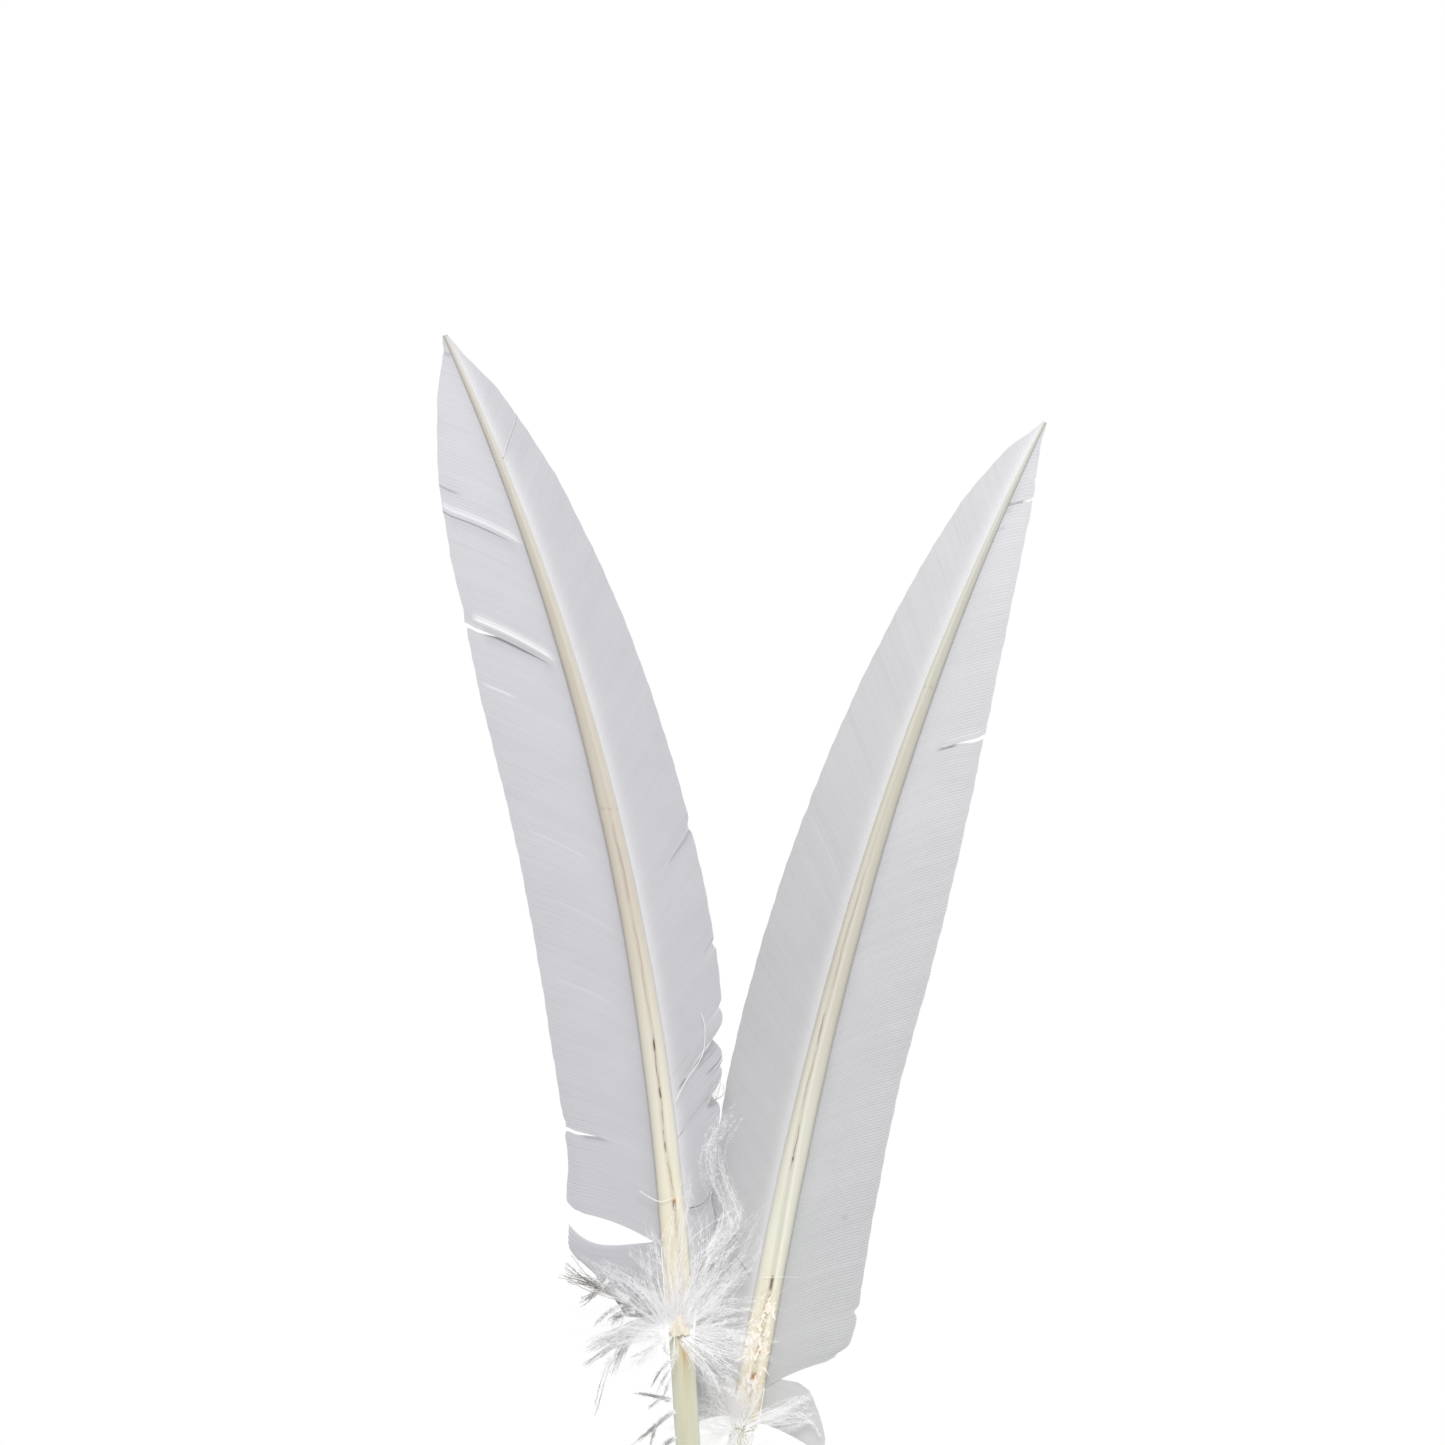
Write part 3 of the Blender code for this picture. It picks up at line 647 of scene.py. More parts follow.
def blades(quill, middle, along, side):
    """Six-cornered blades round the barbs' middle lines, wide enough to lap their neighbours."""
    _, _, dorsal = quill.read(along)
    forward = unit(np.gradient(middle, axis=1))
    wide = unit(np.cross(forward, dorsal))
    back = unit(np.cross(wide, forward))
    back *= np.sign(np.einsum("ijk,ijk->ij", back, dorsal))[..., None]
    pitch = np.abs(np.einsum("ijk,ijk->ij", np.gradient(middle, axis=0), wide))
    pitch = np.clip(pitch, 0.12 * MM, 2.2 * MM)
    taper = np.sqrt(np.clip((1.03 - OUT) / 0.04, 0.3, 1))
    outline = np.gradient(middle[:, -1], axis=0)
    slant = np.einsum("ij,ij->i", outline, forward[:, -1]) / np.einsum("ij,ij->i", outline, wide[:, -1])
    flush = np.clip(slant, -2.5, 2.5)[:, None] * smoothstep(0.80, 1.0, OUT)
    half = 0.57 * pitch * taper
    outer_half = smoothstep(0.30, 0.85, OUT) if side == "inner" else 0.25 * smoothstep(0.3, 0.9, OUT)
    ridge = (0.014 + 0.024 * outer_half) * MM * taper + 0 * half
    lap = 0.030 * MM * taper + 0 * half
    corners = ((-1.0, 1.0, 0.0), (-0.36, 0.36, -0.75), (0.0, 0.0, -1.0), (0.36, -0.36, -0.75),
               (1.0, -1.0, 0.0), (0.0, 0.3, 0.75))
    ring = [middle + (wide + forward * flush[..., None]) * (w * half)[..., None]
            + back * (k * lap + d * ridge)[..., None] for w, k, d in corners]
    return np.stack(ring, 2)


# The loose lowest run of each inner vane, below its deepest split. Root, edge and reach (mm) and how
# late a barb bends up, at shares of the way from its lowest barb to its highest.
# top_light paints a highlight on the top barbs, shade paints shadow that thins upward; light lightens it
# all.
LOBES = {
    "front": {"root": [(0, 2.0), (0.35, 8.0), (0.65, 14.5), (1, 20.6)],
              "edge": [(0, 3.4), (0.35, 11.0), (0.6, 19.4), (0.75, 22.6), (1, 27.6)],
              "reach": [(0, 13.0), (0.25, 16.0), (0.45, 20.0), (0.6, 24.4), (0.75, 25.6), (1, 25.1)],
              "bend": [(0, 1.3), (0.5, 1.8), (1, 5.2)],
              "barbs": 34, "top_light": 0.35, "shade": 0.10, "light": 0.0},
    "rear": {"root": [(0, 1.2), (1, 12.6)], "edge": [(0, -3.4), (0.35, 1.0), (0.7, 7.5), (1, 12.6)],
             "reach": [(0, 20.4), (0.35, 20.2), (0.7, 17.2), (0.9, 14.6), (1, 12.2)],
             "bend": [(0, 1.6), (1, 2.2)],
             "barbs": 30, "top_light": 0.0, "shade": 0.0, "light": 0.10},
}


def make_lobe(quill, finish):
    """The lobe's barbs run nearly level, then sweep to its outline."""
    facts = LOBES[quill.name]
    count = facts["barbs"]
    rng = np.random.default_rng(11 + len(quill.name))
    share = np.linspace(0, 1, count)
    root, edge, reach = (smooth_value(facts[key], share) * MM for key in ("root", "edge", "reach"))
    bend = smooth_value(facts["bend"], share)
    reach = reach + 0.05 * MM * rng.standard_normal(count)
    start = quill.width(root) / 2 + GAP
    across = start[:, None] + (reach - start)[:, None] * OUT
    along = root[:, None] + (edge - root)[:, None] * OUT ** bend[:, None]
    attach = VANE_ATTACHES_AT * quill.width(root) * SHAFT_DEPTH_RATIO
    lift = attach[:, None] * (1 - OUT) - CAMBER["inner"] * (across / CAMBER_REACH) ** 2
    lift += 0.35 * MM * share[:, None]
    lift += 0.02 * MM * rng.standard_normal(count)[:, None] * OUT
    middle = quill.place(along, quill.inner * across, lift)
    rings = blades(quill, middle, along, "outer")
    # Painted highlight on the lobe's top barbs.
    top = np.exp(-(1 - share) * 14)[:, None, None] * OUT[:, None]
    layers = {
        "along": np.full((1, 1, 1), 0.02),
        "tone": np.clip(0.4 * rng.standard_normal(count), -1, 1)[:, None, None],
        "shade": (facts["shade"] * (1 - 0.6 * share))[:, None, None],
        "gleam": facts["light"] + facts["top_light"] * top,
    }
    closed_piece(f"{quill.name}_inner_barbs_lobe", [(rings, layers)], finish,
                 quill.body, f"{quill.name}_inner_vane_lobe")


# ---------------------------------------------------------------- shafts and skins
SHAFT_STATIONS = 820


def shaft_section(half):
    """The shaft's rounded square, with many corners over its ventral face and few round its back."""
    face = -np.arccos(np.linspace(-1, 1, 76))
    back = np.linspace(0, math.pi, 22)[1:-1]
    turn = np.concatenate([face, back])[None, :]
    c, d = np.cos(turn), np.sin(turn)
    x = half * np.sign(c) * np.abs(c) ** 0.75
    y = half * SHAFT_DEPTH_RATIO * np.sign(d) * np.abs(d) ** 0.75
    return x, y, smoothstep(0.10, 0.55, -d)


def shaft_cracks(quill, s, off, ventral):
    """How deep, in metres, and how dark the groove's slits, cracks and pits are."""
    deep, crack = np.zeros_like(off), np.zeros_like(off)
    line = off + 0.16 * MM * np.sin(s / (3.1 * MM)) + 0.05 * MM * np.sin(s / (0.9 * MM))
    for low, high, wide, depth, dark in SHAFT_CRACKS[quill.name]:
        ends = np.clip(1 - ((s - (low + high) / 2) / ((high - low) / 2)) ** 2, 0, 1) ** 0.4
        pit = np.exp(-((line / (wide * MM)) ** 2)) * ends * ventral
        deep += depth * MM * pit
        crack = np.maximum(crack, dark * pit)
    return deep, crack


def make_shaft(quill, finish):
    """The shaft's horn: the ventral groove between two bands, its cracks, growth mark and stains."""
    s = (GAP + (quill.length + 0.0004 - GAP) * np.linspace(0, 1, SHAFT_STATIONS) ** 1.15)[:, None]
    half = quill.width(s) / 2
    x, y, ventral = shaft_section(half)
    grooved = np.clip(1 - s / quill.length / 0.66, 0, 1) ** 0.7 * ventral
    off = x - smooth_value(GROOVES[quill.name], s) * MM
    valley, hollow = (np.exp(-((off / (share * half)) ** 2)) * grooved for share in (0.15, 0.42))
    deep, crack = shaft_cracks(quill, s, off, ventral)
    slant = 0.25 * (x * quill.inner + half)
    mark = np.exp(-(((s - NODE_MARKS[quill.name] - slant) / (0.30 * MM)) ** 2)) * ventral
    crack = np.maximum(crack, 0.22 * mark * (0.5 + 0.5 * np.sin(x / (0.28 * MM))))
    y = y + (0.15 * valley + 0.13 * hollow) * half * SHAFT_DEPTH_RATIO + deep + 0.08 * MM * mark
    amber = np.zeros_like(x)
    for place, across, radius in AMBER_PITS[quill.name]:
        amber += np.exp(-(((s - place) ** 2 + (x - across * MM) ** 2) / (radius * MM) ** 2)) * ventral
    # Painted highlight on the ridge beside the groove: strong on the rear quill, faint on the front.
    ridge = np.exp(-(((off * quill.inner - 0.30 * half) / (0.13 * half)) ** 2)) * grooved
    layers = {
        "along": (s / quill.length)[None],
        "across": (0.5 - 0.5 * quill.inner * off / half)[None],
        # Painted shade down the groove's hollow.
        "groove": (0.28 * valley)[None],
        "gleam": ((0.55 if quill.inner > 0 else 0.12) * ridge)[None],
        "amber": np.clip(amber, 0, 1)[None],
        "crack": np.clip(crack, 0, 1)[None],
    }
    x = x * (1 + 0.012 * np.sin(s / (9 * MM)) + 0.008 * np.sin(s / (3.3 * MM)))
    closed_piece(f"{quill.name}_shaft_horn", [(quill.place(s, x, y)[None], layers)], finish,
                 quill.body, f"{quill.name}_shaft", 70)


def nib_foot(theta):
    """How high the barrel's wall starts at each angle round it, 0 at the back, where the nib is cut."""
    x, y = BARREL_RADIUS * np.abs(np.sin(theta)), BARREL_RADIUS * np.cos(theta)
    round_in = np.sqrt(np.clip(1 - (1 - (SCOOP_FLOOR - y) / SCOOP_DEPTH) ** 2, 0, 1))
    tine = SHOULDER_HEIGHT * 0.6 + (TINE_FLOOR - y) * 18
    scoop = np.where(y >= SCOOP_FLOOR, tine, SCOOP_FOOT + (SCOOP_TOP - SCOOP_FOOT) * round_in)
    scoop = np.where(y >= TINE_FLOOR, 0, scoop)
    widest = BARREL_RADIUS + GAP
    sweep = np.sqrt(np.clip(1 - ((widest - x) / (widest - NIB_HALF_WIDTH)) ** 2, 0, 1))
    return np.maximum(scoop, np.where(x <= NIB_HALF_WIDTH, 0, SHOULDER_HEIGHT * sweep))


def barrel_rings():
    """The barrel's wall as rings of its two skins, from one side of the nib's slit round to the other."""
    flank = np.linspace(0, 1, 76)
    tine = 0.24
    theta = np.concatenate([flank * tine, tine + flank[1:] * (math.pi - tine)])
    theta = np.concatenate([theta, 2 * math.pi - theta[-2::-1]])[:, None]
    foot = nib_foot(theta)
    z = foot + (BARREL_LENGTH - foot) * np.linspace(0, 1, 90) ** 1.3
    outer = np.interp(z, [0, 0.030, BARREL_LENGTH], [NIB_END_RADIUS, BARREL_RADIUS, BARREL_RADIUS])
    outer = outer * (1 + 0.004 * np.sin(7 * theta + z * 60) + 0.003 * np.sin(z / (2.3 * MM)))
    slit = np.interp(z, [0, 0.0072, 0.0085, BARREL_LENGTH], [0.06, 0.05, 0.004, 0.004]) * MM
    ends = np.exp(-(np.minimum(theta, 2 * math.pi - theta) / 0.05) ** 2) * np.where(theta < math.pi, 1, -1)
    skins = [np.stack([radius * np.sin(theta) + slit * ends, radius * np.cos(theta), z], -1)
             for radius in (outer, outer - BARREL_WALL)]
    return np.concatenate([skins[0], skins[1][:, ::-1]], 1)[None]


def core_stain(x, ventral, below):
    """How much amber the dried core lends the wall ahead of it, this many mm below the umbilicus."""
    broad = 0.55 * np.exp(-(((x - 0.6 * MM) / ((0.80 + 0.05 * below) * MM)) ** 2))
    streak = 0.45 * np.exp(-(((x - (0.95 - 0.06 * below) * MM) / (0.22 * MM)) ** 2))
    fade = 0.85 * np.exp(-((below / 8.5) ** 4)) + 0.30 * np.exp(-((below / 15) ** 4))
    return np.clip((broad + streak) * ventral * fade, 0, 1)


def make_barrel(quill, finish):
    """The horn tube with its scoop, shoulders, nib and slit. The front one shows its core's amber."""
    rings = barrel_rings()
    x, z = rings[..., 0], rings[..., 2]
    ventral = smoothstep(0.1, 0.8, -rings[..., 1] / BARREL_RADIUS)
    amber = core_stain(x, ventral, (BARREL_LENGTH - z) / MM)
    layers = {
        "amber": amber * (quill.name == "front"),
        # Painted light along the tube's left and right sides.
        "rim": 0.7 * smoothstep(0.40, 0.95, np.abs(x) / BARREL_RADIUS),
        "clear": 0.8 * np.clip(1 - z / 0.05, 0, 1),
    }
    closed_piece(f"{quill.name}_barrel_cut", [(quill.to_world(rings), layers)], finish,
                 quill.body, f"{quill.name}_barrel", 50)


def scrap(quill, rng, s, across, ahead, length, width, turn, curl):
    """Rings of a small torn strip of skin: a tapered ribbon that curls away from the shaft."""
    q = np.linspace(0, 1, 7)
    angle = math.radians(turn)
    wide = width * (1 - 0.75 * q**1.5) * (1 + 0.2 * rng.standard_normal(len(q)))
    up = np.cos(angle) * length * q
    side = np.sin(angle) * length * q
    off = ahead + curl * q**2
    rings = []
    for edge, skin in ((-0.5, 0), (0.5, 0), (0.5, 1), (-0.5, 1)):
        x = across + side + edge * wide * math.cos(angle)
        rings.append(quill.place(s + up - edge * wide * math.sin(angle), x, -(off + skin * 0.06 * MM)))
    return np.stack(rings, 1)


def sheath_flakes(quill, rng, count=90):
    """Torn strips over the grooved face, near the foot of the shaft."""
    flakes = []
    for _ in range(count):
        s = rng.uniform(0.0060, 0.0320)
        half = quill.width(s) / 2
        across = rng.uniform(-0.85, 0.75) * half
        face = half * SHAFT_DEPTH_RATIO * (1 - 0.45 * (across / half) ** 2)
        ahead = face + rng.uniform(0.03, 0.15) * MM
        length = rng.uniform(1.0, 3.6) * MM
        width = rng.uniform(0.25, 0.9) * MM
        turn = rng.normal(0, 28) + 180 * rng.integers(0, 2)
        curl = rng.uniform(0.0, 0.45) * MM
        flakes.append(scrap(quill, rng, s, across, ahead, length, width, turn, curl))
    return np.stack(flakes)


def sheath_fibres(quill, rng, count=110):
    """Fine wandering fibres over the same stretch of the shaft."""
    q = np.linspace(0, 1, 9)
    s = rng.uniform(0.0050, 0.0330, (count, 1))
    half = quill.width(s) / 2
    heading = np.radians(rng.normal(0, 38, (count, 1))) + rng.normal(0, 0.9, (count, 1)) * q
    step = rng.uniform(1.5, 5.0, (count, 1)) * MM / 8
    across = rng.uniform(-0.9, 0.8, (count, 1)) * half + np.cumsum(np.sin(heading) * step, 1)
    along = s + np.cumsum(np.cos(heading) * step, 1) * rng.choice([-1, 1], (count, 1))
    face = half * SHAFT_DEPTH_RATIO * (1 - 0.4 * np.clip(across / half, -1, 1) ** 2)
    paths = quill.place(along, across, -(face + (0.10 + rng.uniform(0, 0.8, (count, 1)) * q) * MM))
    return strands(paths, (0.045 - 0.03 * q) * MM * np.ones((count, 1)))


def make_shaft_sheath(quill, finish):
    """Frayed flakes and fibres of the old sheath, still stuck to the rear shaft's grooved face."""
    rng = np.random.default_rng(41)
    groups = [(sheath_flakes(quill, rng), {}), (sheath_fibres(quill, rng), {})]
    closed_piece("rear_shaft_scraps", groups, finish, quill.body, "rear_shaft_sheath")


def make_umbilicus_skin(quill, finish):
    """The dry skin off the barrel's head: creased, torn at both ends, its right edge curled out."""
    columns, rows, skin = 44, 16, 0.12 * MM
    x = np.linspace(-2.9, 2.1, columns) * MM
    share = np.linspace(0, 1, rows)[:, None]
    wander = np.sin(x / (0.75 * MM)) * np.cos(x / (1.9 * MM) + 1) + 0.4 * np.sin(x / (0.23 * MM))
    low = BARREL_LENGTH + (-1.5 + 0.40 * wander) * MM
    high = BARREL_LENGTH + (3.4 + 0.35 * wander - 0.12 * x / MM) * MM
    z = low + (high - low) * share
    roll = np.exp(-(((x - x[-1]) / (0.55 * MM)) ** 2))
    crease = 0.32 * np.sin(x / (0.50 * MM) + 1.5 * share)
    crease = crease + 0.20 * np.sin(4.5 * share + x / (1.1 * MM))
    ahead = np.sqrt(np.clip(BARREL_RADIUS**2 - x**2, 0, None)) + (1.60 + crease + 0.8 * roll) * MM
    across = x - 0.25 * MM * share + 0 * z
    skins = [np.stack([across, -(ahead + out), z], -1) for out in (skin, 0)]
    rings = np.concatenate([skins[0], skins[1][::-1]], 0).transpose(1, 0, 2)[None]
    closed_piece("front_umbilicus_skin", [(quill.to_world(rings), {})], finish,
                 quill.body, "front_umbilicus_sheath", 60)


# ---------------------------------------------------------------- down
# A tuft's groups of loose barbs: how many, the range of their directions (degrees, 0 to the right and
# 90 up the barrel), their lengths (mm), their bend (degrees, more to the left), and how far they stand
# off the fan (mm).
TUFTS = {
    "front_afterfeather": [
        (64, (56, 84), (24, 40), (-16, 12), (0.3, 2.8)), (50, (40, 72), (18, 33), (-25, 22), (0.3, 3.0)),
        (46, (84, 128), (12, 29), (-20, 25), (0.3, 3.0)), (36, (40, 140), (5, 15), (-30, 30), (0.2, 3.2))],
    "front_down_inner": [
        (44, (118, 152), (15, 29), (-10, 34), (0.2, 3.0)),
        (46, (150, 182), (14, 27), (-26, 26), (0.2, 3.2)),
        (40, (182, 214), (12, 25), (0, 36), (0.2, 3.0)), (12, (214, 250), (8, 16), (-20, 30), (0.2, 2.6))],
    "front_down_outer": [
        (44, (8, 52), (12, 25), (-40, 20), (0.2, 3.0)), (48, (-30, 12), (12, 23), (-35, 22), (0.2, 3.0)),
        (46, (-66, -22), (12, 28), (-22, 26), (0.2, 2.6))],
    "rear_afterfeather": [
        (56, (62, 118), (6, 16), (-25, 25), (0.2, 3.0)), (36, (-150, -30), (4, 11), (-40, 40), (0.2, 2.4))],
    "rear_down_inner": [
        (40, (0, 50), (10, 21), (-60, -15), (0.2, 3.0)), (44, (-60, 4), (10, 20), (-35, 25), (0.2, 3.0))],
    "rear_down_outer": [
        (60, (108, 180), (9, 19), (-20, 30), (0.2, 2.8)), (34, (180, 248), (7, 15), (-10, 30), (0.2, 2.6))],
}
# How fast a tuft comes forward as it spreads, how many points a loose barb has, and how many such barbs
# lie together in a clump.
FAN_SLOPE = {"front": 0.12, "rear": 0.03}
STATIONS = 15
BARBS_A_CLUMP = 5


def fan_paths(quill, rng, groups):
    """The middle lines of a tuft's loose barbs: clumps that part, then meet at their tips."""
    q = np.linspace(0, 1, STATIONS)
    slope = FAN_SLOPE[quill.name]
    paths = []
    for count, directions, lengths, bends, heights in groups:
        clumps = max(2, round(count / BARBS_A_CLUMP))
        which = np.arange(count) % clumps
        first = np.radians(rng.uniform(*directions, clumps))[which][:, None]
        length = (lengths[0] + (lengths[1] - lengths[0]) * rng.beta(2.2, 1.6, clumps))[which][:, None] * MM
        length = length * rng.uniform(0.80, 1.06, (count, 1))
        bend = np.radians(rng.uniform(*bends, clumps))[which][:, None]
        sway = np.radians(rng.uniform(-22, 22, clumps))[which][:, None] * np.sin(q * math.pi * 1.8)
        part = np.radians(rng.normal(0, 13, (count, 1))) * (1 - 2 * q)
        heading = first + bend * q**1.4 + sway + part
        step = length / (STATIONS - 1)
        x = rng.uniform(0.4, 2.0, (count, 1)) * MM * np.cos(first) - step
        x = x + np.cumsum(np.cos(heading) * step, 1)
        z = rng.uniform(-0.6, 1.6, (count, 1)) * MM * np.sin(first) - step
        z = z + np.cumsum(np.sin(heading) * step, 1)
        height = (rng.uniform(*heights, clumps)[which][:, None] + rng.normal(0, 0.15, (count, 1))) * MM
        swell = np.sin(q * math.pi * 0.7) ** 1.4
        y = -(BARREL_RADIUS + 0.6 * MM) - slope * np.hypot(x, z) - np.abs(height) * swell
        paths.append(np.stack([x, y, z + BARREL_LENGTH], -1))
    return np.concatenate(paths)


def barbules(paths, rng, per_strand, longest, begin=0.12):
    """The middle lines of the short hairs that stand off loose barbs, on both sides."""
    count = len(paths) * per_strand
    which = np.repeat(np.arange(len(paths)), per_strand)
    q = rng.uniform(begin, 0.98, count)
    at = q * (STATIONS - 1)
    k = np.clip(at.astype(int), 0, STATIONS - 2)
    t = (at - k)[:, None]
    foot = paths[which, k] * (1 - t) + paths[which, k + 1] * t
    forward = unit(paths[which, k + 1] - paths[which, k])
    side = unit(np.cross(forward, np.array([0.0, 1.0, 0.0]) + 0 * forward))
    side *= np.where(rng.random(count) < 0.5, -1, 1)[:, None]
    off = np.array([0.0, 1.0, 0.0]) * rng.normal(0, 0.35, count)[:, None]
    lean = np.radians(rng.uniform(28, 62, count))[:, None]
    heading = unit(forward * np.cos(lean) + side * np.sin(lean) + off)
    length = (longest * MM * (1 - 0.55 * q) * rng.uniform(0.5, 1, count))[:, None]
    middle = foot + heading * length * 0.5
    tip = middle + unit(heading + forward * 0.45) * length * 0.5
    return np.stack([foot, middle, tip], 1), which


# Single barbs that have come adrift, by the tuft that holds them: points (s and across, mm), radius, the
# distance ahead of the shaft's middle, how matted, how long their hairs are (mm), how many lie together
# and how far apart they stray (mm).
LOOSE_BARBS = {
    "front_down_outer": [
        (((28.7, 4.2), (29.0, 6.2), (29.9, 8.2), (31.8, 9.8)), 0.30, 1.7, 1.0, 0.05, 1, 0.0),
        (((55, 3.8), (60, 7.1), (65, 11.5), (71.3, 13.1), (75.3, 12.7)), 0.07, 1.7, 0.14, 0.25, 5, 0.16),
        (((18, 8), (27, 13.5), (37.3, 10.6), (44.5, 12.0), (50.5, 18.0)), 0.025, 3.4, 0.0, 1.7, 17, 1.8),
        (((16, 7), (24.8, 14.8), (33.0, 12.6), (42.0, 11.0), (49.5, 14.2)), 0.025, 3.0, 0.0, 1.7, 17, 1.8),
        (((53.3, 11.3), (55.5, 12.4), (57.0, 13.2), (59.6, 13.6)), 0.10, 2.2, 0.55, 0.6, 3, 0.3),
        (((53.6, 11.6), (54.3, 13.1), (56.3, 14.1), (58.2, 15.0)), 0.10, 2.3, 0.75, 0.6, 3, 0.3),
        (((53.8, 12.0), (54.4, 14.0), (55.4, 15.6), (57.9, 15.6)), 0.08, 2.2, 0.60, 0.6, 3, 0.3)],
    "front_afterfeather": [
        (((34.3, -7.3), (31.8, -4.1), (31.0, -1.8), (31.8, 0.5)), 0.07, 3.4, 0.16, 0.6, 2, 0.15)],
    "rear_afterfeather": [
        (((37.0, -2.3), (37.6, 0.5), (38.4, 4.0), (38.8, 6.9)), 0.05, 3.5, 0.0, 0.3, 1, 0.0),
        (((1.5, 2.5), (5.5, 8.0), (5.0, 15.0), (1.0, 19.3)), 0.03, 4.0, 0.0, 1.6, 5, 0.8),
        (((1.0, -1.5), (4.5, -5.0), (8.0, -8.5), (10.0, -12.4)), 0.03, 3.6, 0.0, 2.0, 6, 0.9)],
}


def loose_barbs(quill, rng, name):
    """The tuft's loose single barbs, with the hairs along them."""
    q = np.linspace(0, 1, STATIONS)
    groups = []
    for points, radius, ahead, matted, hair, count, spread in LOOSE_BARBS.get(name, ()):
        share = np.linspace(0, 1, len(points))
        s, across = (smooth_value(list(zip(share, column)), q) for column in zip(*points))
        drift = rng.normal(0, spread, (2, count, 1)) * np.sin(0.25 + q * 2.3)
        off = -(ahead + 0.3 * np.sin(q * 3))
        paths = quill.place((s + drift[0]) * MM, (across + drift[1]) * MM, off * MM)
        radii = radius * (1 - 0.75 * q) * MM * rng.uniform(0.7, 1.2, (count, 1))
        hairs, _ = barbules(paths, rng, 40, hair, 0.02)
        fine = np.array([0.022, 0.017, 0.008]) * MM * np.ones((len(hairs), 1))
        layer = {"matted": np.full((1, 1, 1), matted)}
        groups += [(strands(paths, radii), layer), (strands(hairs, fine), layer)]
    return groups


def make_tuft(quill, name, finish, extra=()):
    """A tuft of down in place of its plain CAD fan."""
    rng = np.random.default_rng(sum(ord(letter) for letter in name))
    paths = quill.to_world(fan_paths(quill, rng, TUFTS[name]))
    q = np.linspace(0, 1, STATIONS)
    radii = (0.060 - 0.045 * q**0.8) * MM * rng.uniform(0.7, 1.2, (len(paths), 1))
    hairs, _ = barbules(paths, rng, 26, 2.5, 0.22)
    fine = np.array([0.020, 0.016, 0.007]) * MM * np.ones((len(hairs), 1))
    white = {"matted": np.zeros((1, 1, 1))}
    groups = [(strands(paths, radii), white), (strands(hairs, fine), white), *extra,
              *loose_barbs(quill, rng, name)]
    closed_piece(f"{name}_fluff", groups, finish, quill.body, name)


# Matted barbs at the front tuft's left: bundles given as points (mm to the right of the umbilicus and
# above it, however the quill leans), half width at the start and at the end (mm), how many strands, and
# how dark.
BUNDLES = [
    (((-12.5, 7.0), (-20.0, 9.8), (-26.0, 13.0), (-29.4, 14.9)), 0.8, 2.5, 30, 0.85),
    (((-17.5, 12.0), (-20.4, 8.6), (-22.4, 7.0), (-24.6, 5.8)), 0.5, 0.9, 14, 0.75),
    (((-14.0, 5.6), (-17.0, 4.8), (-19.4, 3.0), (-21.0, 0.6)), 0.3, 0.3, 6, 0.7),
    (((-11.0, 4.0), (-14.0, 4.4), (-16.0, 2.6), (-17.4, 1.0)), 0.8, 1.5, 18, 0.8),
    (((-4.0, 2.4), (-11.0, 1.4), (-18.0, -2.0), (-23.6, -5.4)), 1.0, 1.3, 34, 0.45),
    (((-9.0, 0.2), (-15.0, -3.0), (-20.0, -6.0), (-24.2, -9.6)), 0.6, 1.0, 18, 0.55),
    (((-10.0, 0.6), (-14.0, -3.6), (-16.0, -7.0), (-17.6, -11.4)), 1.0, 2.2, 30, 0.55),
    (((-17.0, -6.0), (-19.6, -13.0), (-21.6, -19.0), (-22.8, -25.0)), 0.1, 0.15, 2, 0.6),
    (((-16.6, -7.0), (-18.4, -13.0), (-20.2, -19.0), (-21.3, -23.8)), 0.1, 0.15, 2, 0.6),
    (((-4.0, -2.0), (-7.0, -5.0), (-10.0, -6.6), (-10.8, -9.4)), 0.15, 0.2, 4, 0.7),
    (((-4.6, -3.4), (-7.6, -4.4), (-10.2, -6.6), (-12.6, -7.4)), 0.12, 0.15, 3, 0.7),
    (((-3.6, -3.2), (-4.8, -4.6), (-4.4, -6.4), (-2.4, -7.2)), 0.1, 0.1, 2, 0.6),
    (((-2.0, -7.6), (-5.4, -9.6), (-7.0, -13.0), (-8.4, -15.6)), 0.2, 0.2, 5, 0.7),
    (((-2.2, -9.6), (-4.6, -11.4), (-5.2, -14.0), (-6.0, -16.0)), 0.12, 0.2, 3, 0.7),
    (((-2.4, -11.6), (-3.6, -13.6), (-3.4, -15.6), (-4.6, -17.0)), 0.12, 0.2, 3, 0.65),
    (((-1.8, -17.4), (-5.0, -16.8), (-8.6, -15.8), (-12.2, -15.0)), 0.35, 0.5, 9, 0.75),
    (((-4.4, -16.6), (-6.0, -17.8), (-7.0, -18.6), (-8.0, -19.4)), 0.15, 0.2, 4, 0.7),
    (((-1.4, -19.8), (-5.0, -22.0), (-9.0, -25.6), (-13.0, -29.2)), 0.45, 0.35, 12, 0.7),
    (((-5.6, -22.6), (-6.8, -24.4), (-6.8, -26.4), (-7.2, -28.2)), 0.2, 0.25, 5, 0.75),
    (((-1.2, -26.0), (-2.8, -27.2), (-4.0, -28.0), (-5.4, -29.4)), 0.35, 0.35, 7, 0.7),
]


def bezier(points, at):
    """A cubic curve that runs from the first of four points to the last."""
    a, b, c, d = (np.array(p, float) for p in points)
    t = at[:, None]
    return (1 - t)**3 * a + 3 * (1 - t)**2 * t * b + 3 * (1 - t) * t**2 * c + t**3 * d


